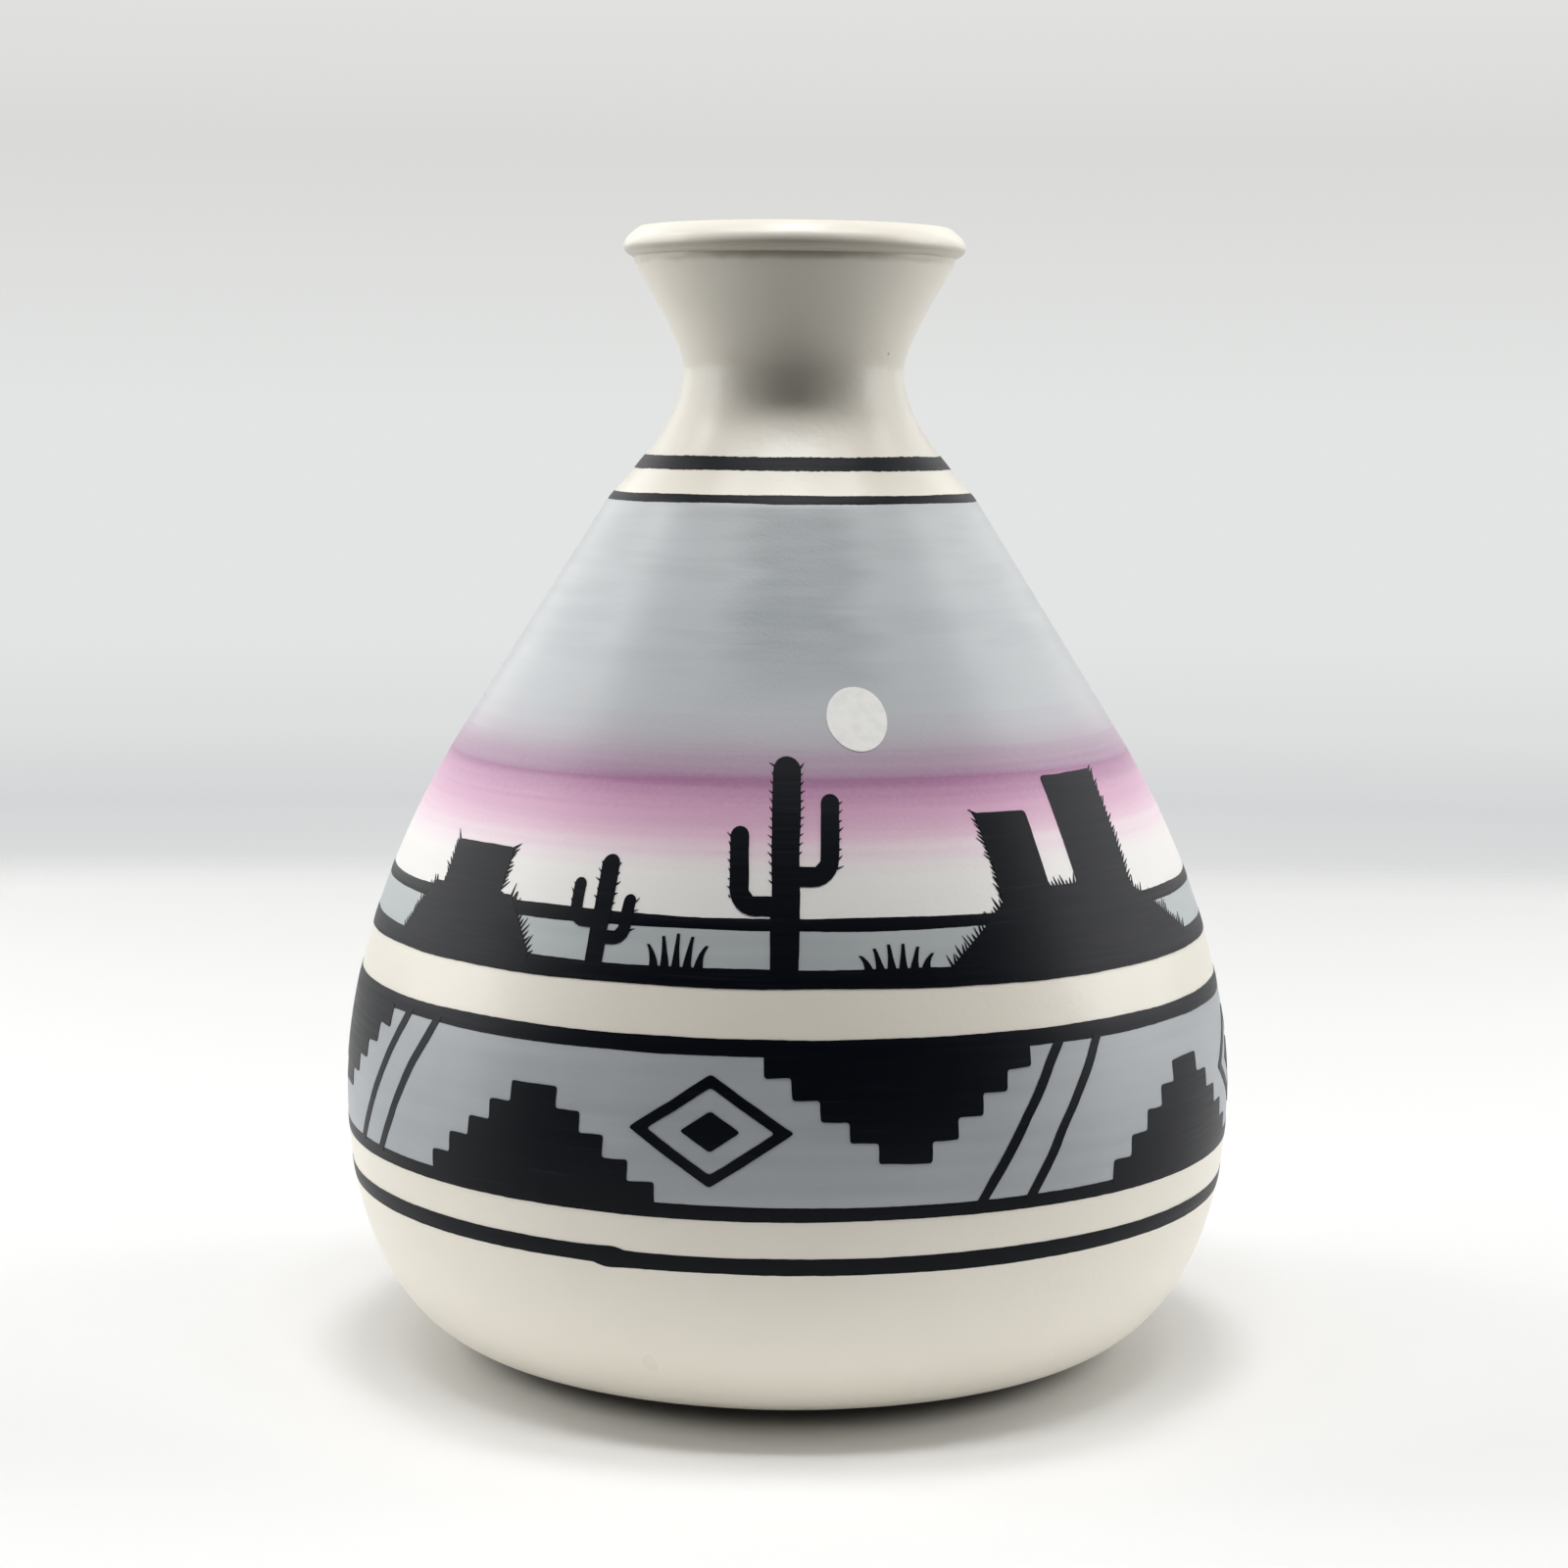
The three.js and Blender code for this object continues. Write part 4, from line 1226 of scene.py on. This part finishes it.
# %% [markdown]
# ## The stage
# The vase stands on a plain white table in a bright room. The table's far edge is out of focus in daylight,
# so here the floor is a sheet whose edge fades away into the pale surroundings. Where the foot stands the
# sheet is dark, since hardly any light gets in there.

# %% Floor
FLOOR_RADIUS = 0.56
FLOOR_FADES = (0.365, 0.445)
FLOOR_PALER = (-0.16, 0.12)
UNDER_FOOT = (0.034, 0.043)


def stage_sheet(name, corners, finish):
    mesh = bpy.data.meshes.new(name)
    mesh.from_pydata(corners, [], [list(range(len(corners)))])
    mesh.materials.append(finish)
    sheet = placed(name, mesh)
    return sheet


floor_finish, wiring, place = new_finish("white_table")
across, away, _ = wiring.split(place)
# Painted shade: the table is painted darker towards the front and paler towards the back, as the light falls
# on it, and dark where the foot stands, as a painted contact shadow.
table = wiring.mixed(away.rising(*FLOOR_PALER), paint(232, 232, 231), paint(241, 241, 240))
from_axis = wiring.vector_math("LENGTH", place)["Value"]
shaded = (1.0 - from_axis.rising(*UNDER_FOOT)) * 0.9
shader = surface(wiring, wiring.mixed(shaded, table, paint(70, 69, 68)), 0.6)
squared = [wiring.math("POWER", wiring.math("ABSOLUTE", side), 4) for side in (across, away)]
fading = wiring.math("POWER", squared[0] + squared[1], 0.25).rising(*FLOOR_FADES)
see_through = wiring.node("ShaderNodeBsdfTransparent")
solid = Flow(wiring, shader.outputs[0])
blend = wiring.node("ShaderNodeMixShader", None, (fading, solid, see_through))
wiring.plug(wiring.tree.nodes["Material Output"].inputs["Surface"], blend)
rim = arc((0, 0), FLOOR_RADIUS, 0, TURN, 96)[:-1]
floor = stage_sheet("white_table", [(x, y, 0.0) for x, y in rim], floor_finish)

# %% [markdown]
# ## Light
# The light in the room is soft and comes from above and both sides: the sides of the vase are brighter than
# its front, because behind the camera it is darker. High lamps over the vase throw the lip's shadow on the
# neck. Wide softboxes at the sides and behind light the flanks, and two small ones high up give the soft
# upright glints on the cone. A dark card stands behind the camera and a dark cloth lies before it, both
# unseen, as the photographer would. The last lamp is a faint strip that stands in for the light that the
# table throws back under the belly.


# %% Softboxes, surround and card
def aimed_at(place, target):
    """A turn that points -Z from a place to a target."""
    return (Vector(target) - Vector(place)).to_track_quat("-Z", "Y").to_euler()


def softbox(name, place, size, watts, target=(0.0, 0.0, 0.06)):
    lamp = bpy.data.lights.new(name, "AREA")
    lamp.shape = "RECTANGLE"
    lamp.size, lamp.size_y = size
    lamp.energy = watts
    box = placed(name, lamp)
    box.location = place
    box.rotation_euler = aimed_at(place, target)
    box.visible_camera = False


softbox("top_strip_light", (0.0, -0.26, 0.94), (0.5, 0.08), 3.12)
softbox("crown_softbox", (0.0, 0.03, 0.97), (0.2, 0.2), 2.3)
for side, sign in (("left", -1), ("right", 1)):
    softbox(f"{side}_softbox", (sign * 0.85, -0.05, 0.30), (0.25, 0.6), 1.57)
    softbox(f"rear_{side}_softbox", (sign * 0.85, 0.22, 0.30), (0.4, 0.6), 1.58)
    softbox(f"top_{side}_softbox", (sign * 0.33, -0.10, 0.90), (0.2, 0.2), 0.92)
softbox("back_left_softbox", (-0.60, 0.60, 0.40), (0.6, 0.6), 1.30)
softbox("back_right_softbox", (0.60, 0.60, 0.40), (0.6, 0.6), 0.86)
softbox("left_glint_light", (-0.67, 0.15, 0.69), (0.16, 0.16), 0.66)
softbox("right_glint_light", (0.67, 0.15, 0.69), (0.16, 0.16), 0.46)
softbox("low_bounce_strip", (0.0, -0.115, 0.005), (0.26, 0.03), 0.03, target=(0.0, -0.05, 0.045))

# %% [markdown]
# The room is seen only as a backdrop. What lights the vase from it is one even dark grey, so that all light
# comes from the lamps.

# %% Room
SURROUND = 0.02
# The backdrop's darker bands, darkest just over the table's far edge, are painted shade.
BACKDROP = {
    -0.200: (243, 243, 243),
    -0.165: (236, 237, 237),
    -0.142: (220, 222, 221),
    -0.122: (212, 213, 215),
    -0.100: (221, 223, 222),
    -0.070: (227, 229, 228),
    0.000: (227, 229, 228),
    0.082: (218, 218, 216),
    0.122: (225, 225, 223),
}
world = bpy.data.worlds.new("room")
bpy.context.scene.world = world
world.use_nodes = True
wiring = Wiring(world.node_tree)
background = wiring.tree.nodes["Background"]
background.inputs["Color"].default_value = (SURROUND, SURROUND, SURROUND, 1.0)
path = wiring.node("ShaderNodeLightPath")
looked_at = wiring.math("MAXIMUM", path["Is Camera Ray"], path["Is Glossy Ray"])
looked_at = wiring.math("MAXIMUM", looked_at, path["Is Transmission Ray"])
steepness = wiring.split(wiring.node("ShaderNodeTexCoord")["Generated"])[2]
backdrop = wiring.node("ShaderNodeBackground", Color=ramped(
    wiring, steepness, BACKDROP, min(BACKDROP), max(BACKDROP)
))
even_grey = Flow(wiring, background.outputs[0])
seen = wiring.node("ShaderNodeMixShader", None, (looked_at, even_grey, backdrop))
wiring.plug(wiring.tree.nodes["World Output"].inputs["Surface"], seen)

# %% Dark card and cloth
CARD_DISTANCE = 0.26
CARD_HALF_WIDTH = 0.42
CARD_TOP = 0.48
CLOTH_DISTANCE = 0.10
CLOTH_RISE = 0.001
card_finish, wiring, _ = new_finish("dark_card")
surface(wiring, (0.03, 0.03, 0.03, 1.0), 0.9)


def dark_sheet(name, near, far):
    """A sheet across the front, between two level edges given as distance and height."""
    corners = [
        (side * CARD_HALF_WIDTH, -distance, height)
        for side, (distance, height) in ((-1, near), (1, near), (1, far), (-1, far))
    ]
    sheet = stage_sheet(name, corners, card_finish)
    sheet.visible_camera = False
    return sheet


dark_sheet("dark_card", (CARD_DISTANCE, 0.0), (CARD_DISTANCE, CARD_TOP))
cloth = dark_sheet("dark_cloth", (CLOTH_DISTANCE, CLOTH_RISE), (CARD_DISTANCE, CLOTH_RISE))
cloth.visible_shadow = False

# %% [markdown]
# ## The camera
# The photograph was taken from a little above the rim, about 40 cm away, which is why the belly looks wide
# and the floor's far edge shows behind the shoulder. The camera stands just there, tipped down by 6.8 degrees
# and a hair out of level.

# %% Camera
CAMERA_PLACE = (0.0, -0.3938, 0.1175)
TILT, ROLL, PAN = (math.radians(a) for a in (6.767, 0.497, -0.108))
LENS = 72.03
SENSOR = 36.0

forward = Vector((math.sin(PAN) * math.cos(TILT), math.cos(PAN) * math.cos(TILT), -math.sin(TILT)))
right = Vector((math.cos(PAN), -math.sin(PAN), 0.0))
upward = right.cross(forward)
camera_right = math.cos(ROLL) * right + math.sin(ROLL) * upward
camera_up = -math.sin(ROLL) * right + math.cos(ROLL) * upward

lens = bpy.data.cameras.new("camera")
lens.lens = LENS
lens.sensor_width = SENSOR
lens.clip_start = 0.01
camera = placed("camera", lens)
axes = Matrix((camera_right, camera_up, -forward)).transposed()
camera.matrix_world = Matrix.Translation(CAMERA_PLACE) @ axes.to_4x4()
bpy.context.scene.camera = camera
bpy.context.scene.view_settings.view_transform = "Standard"
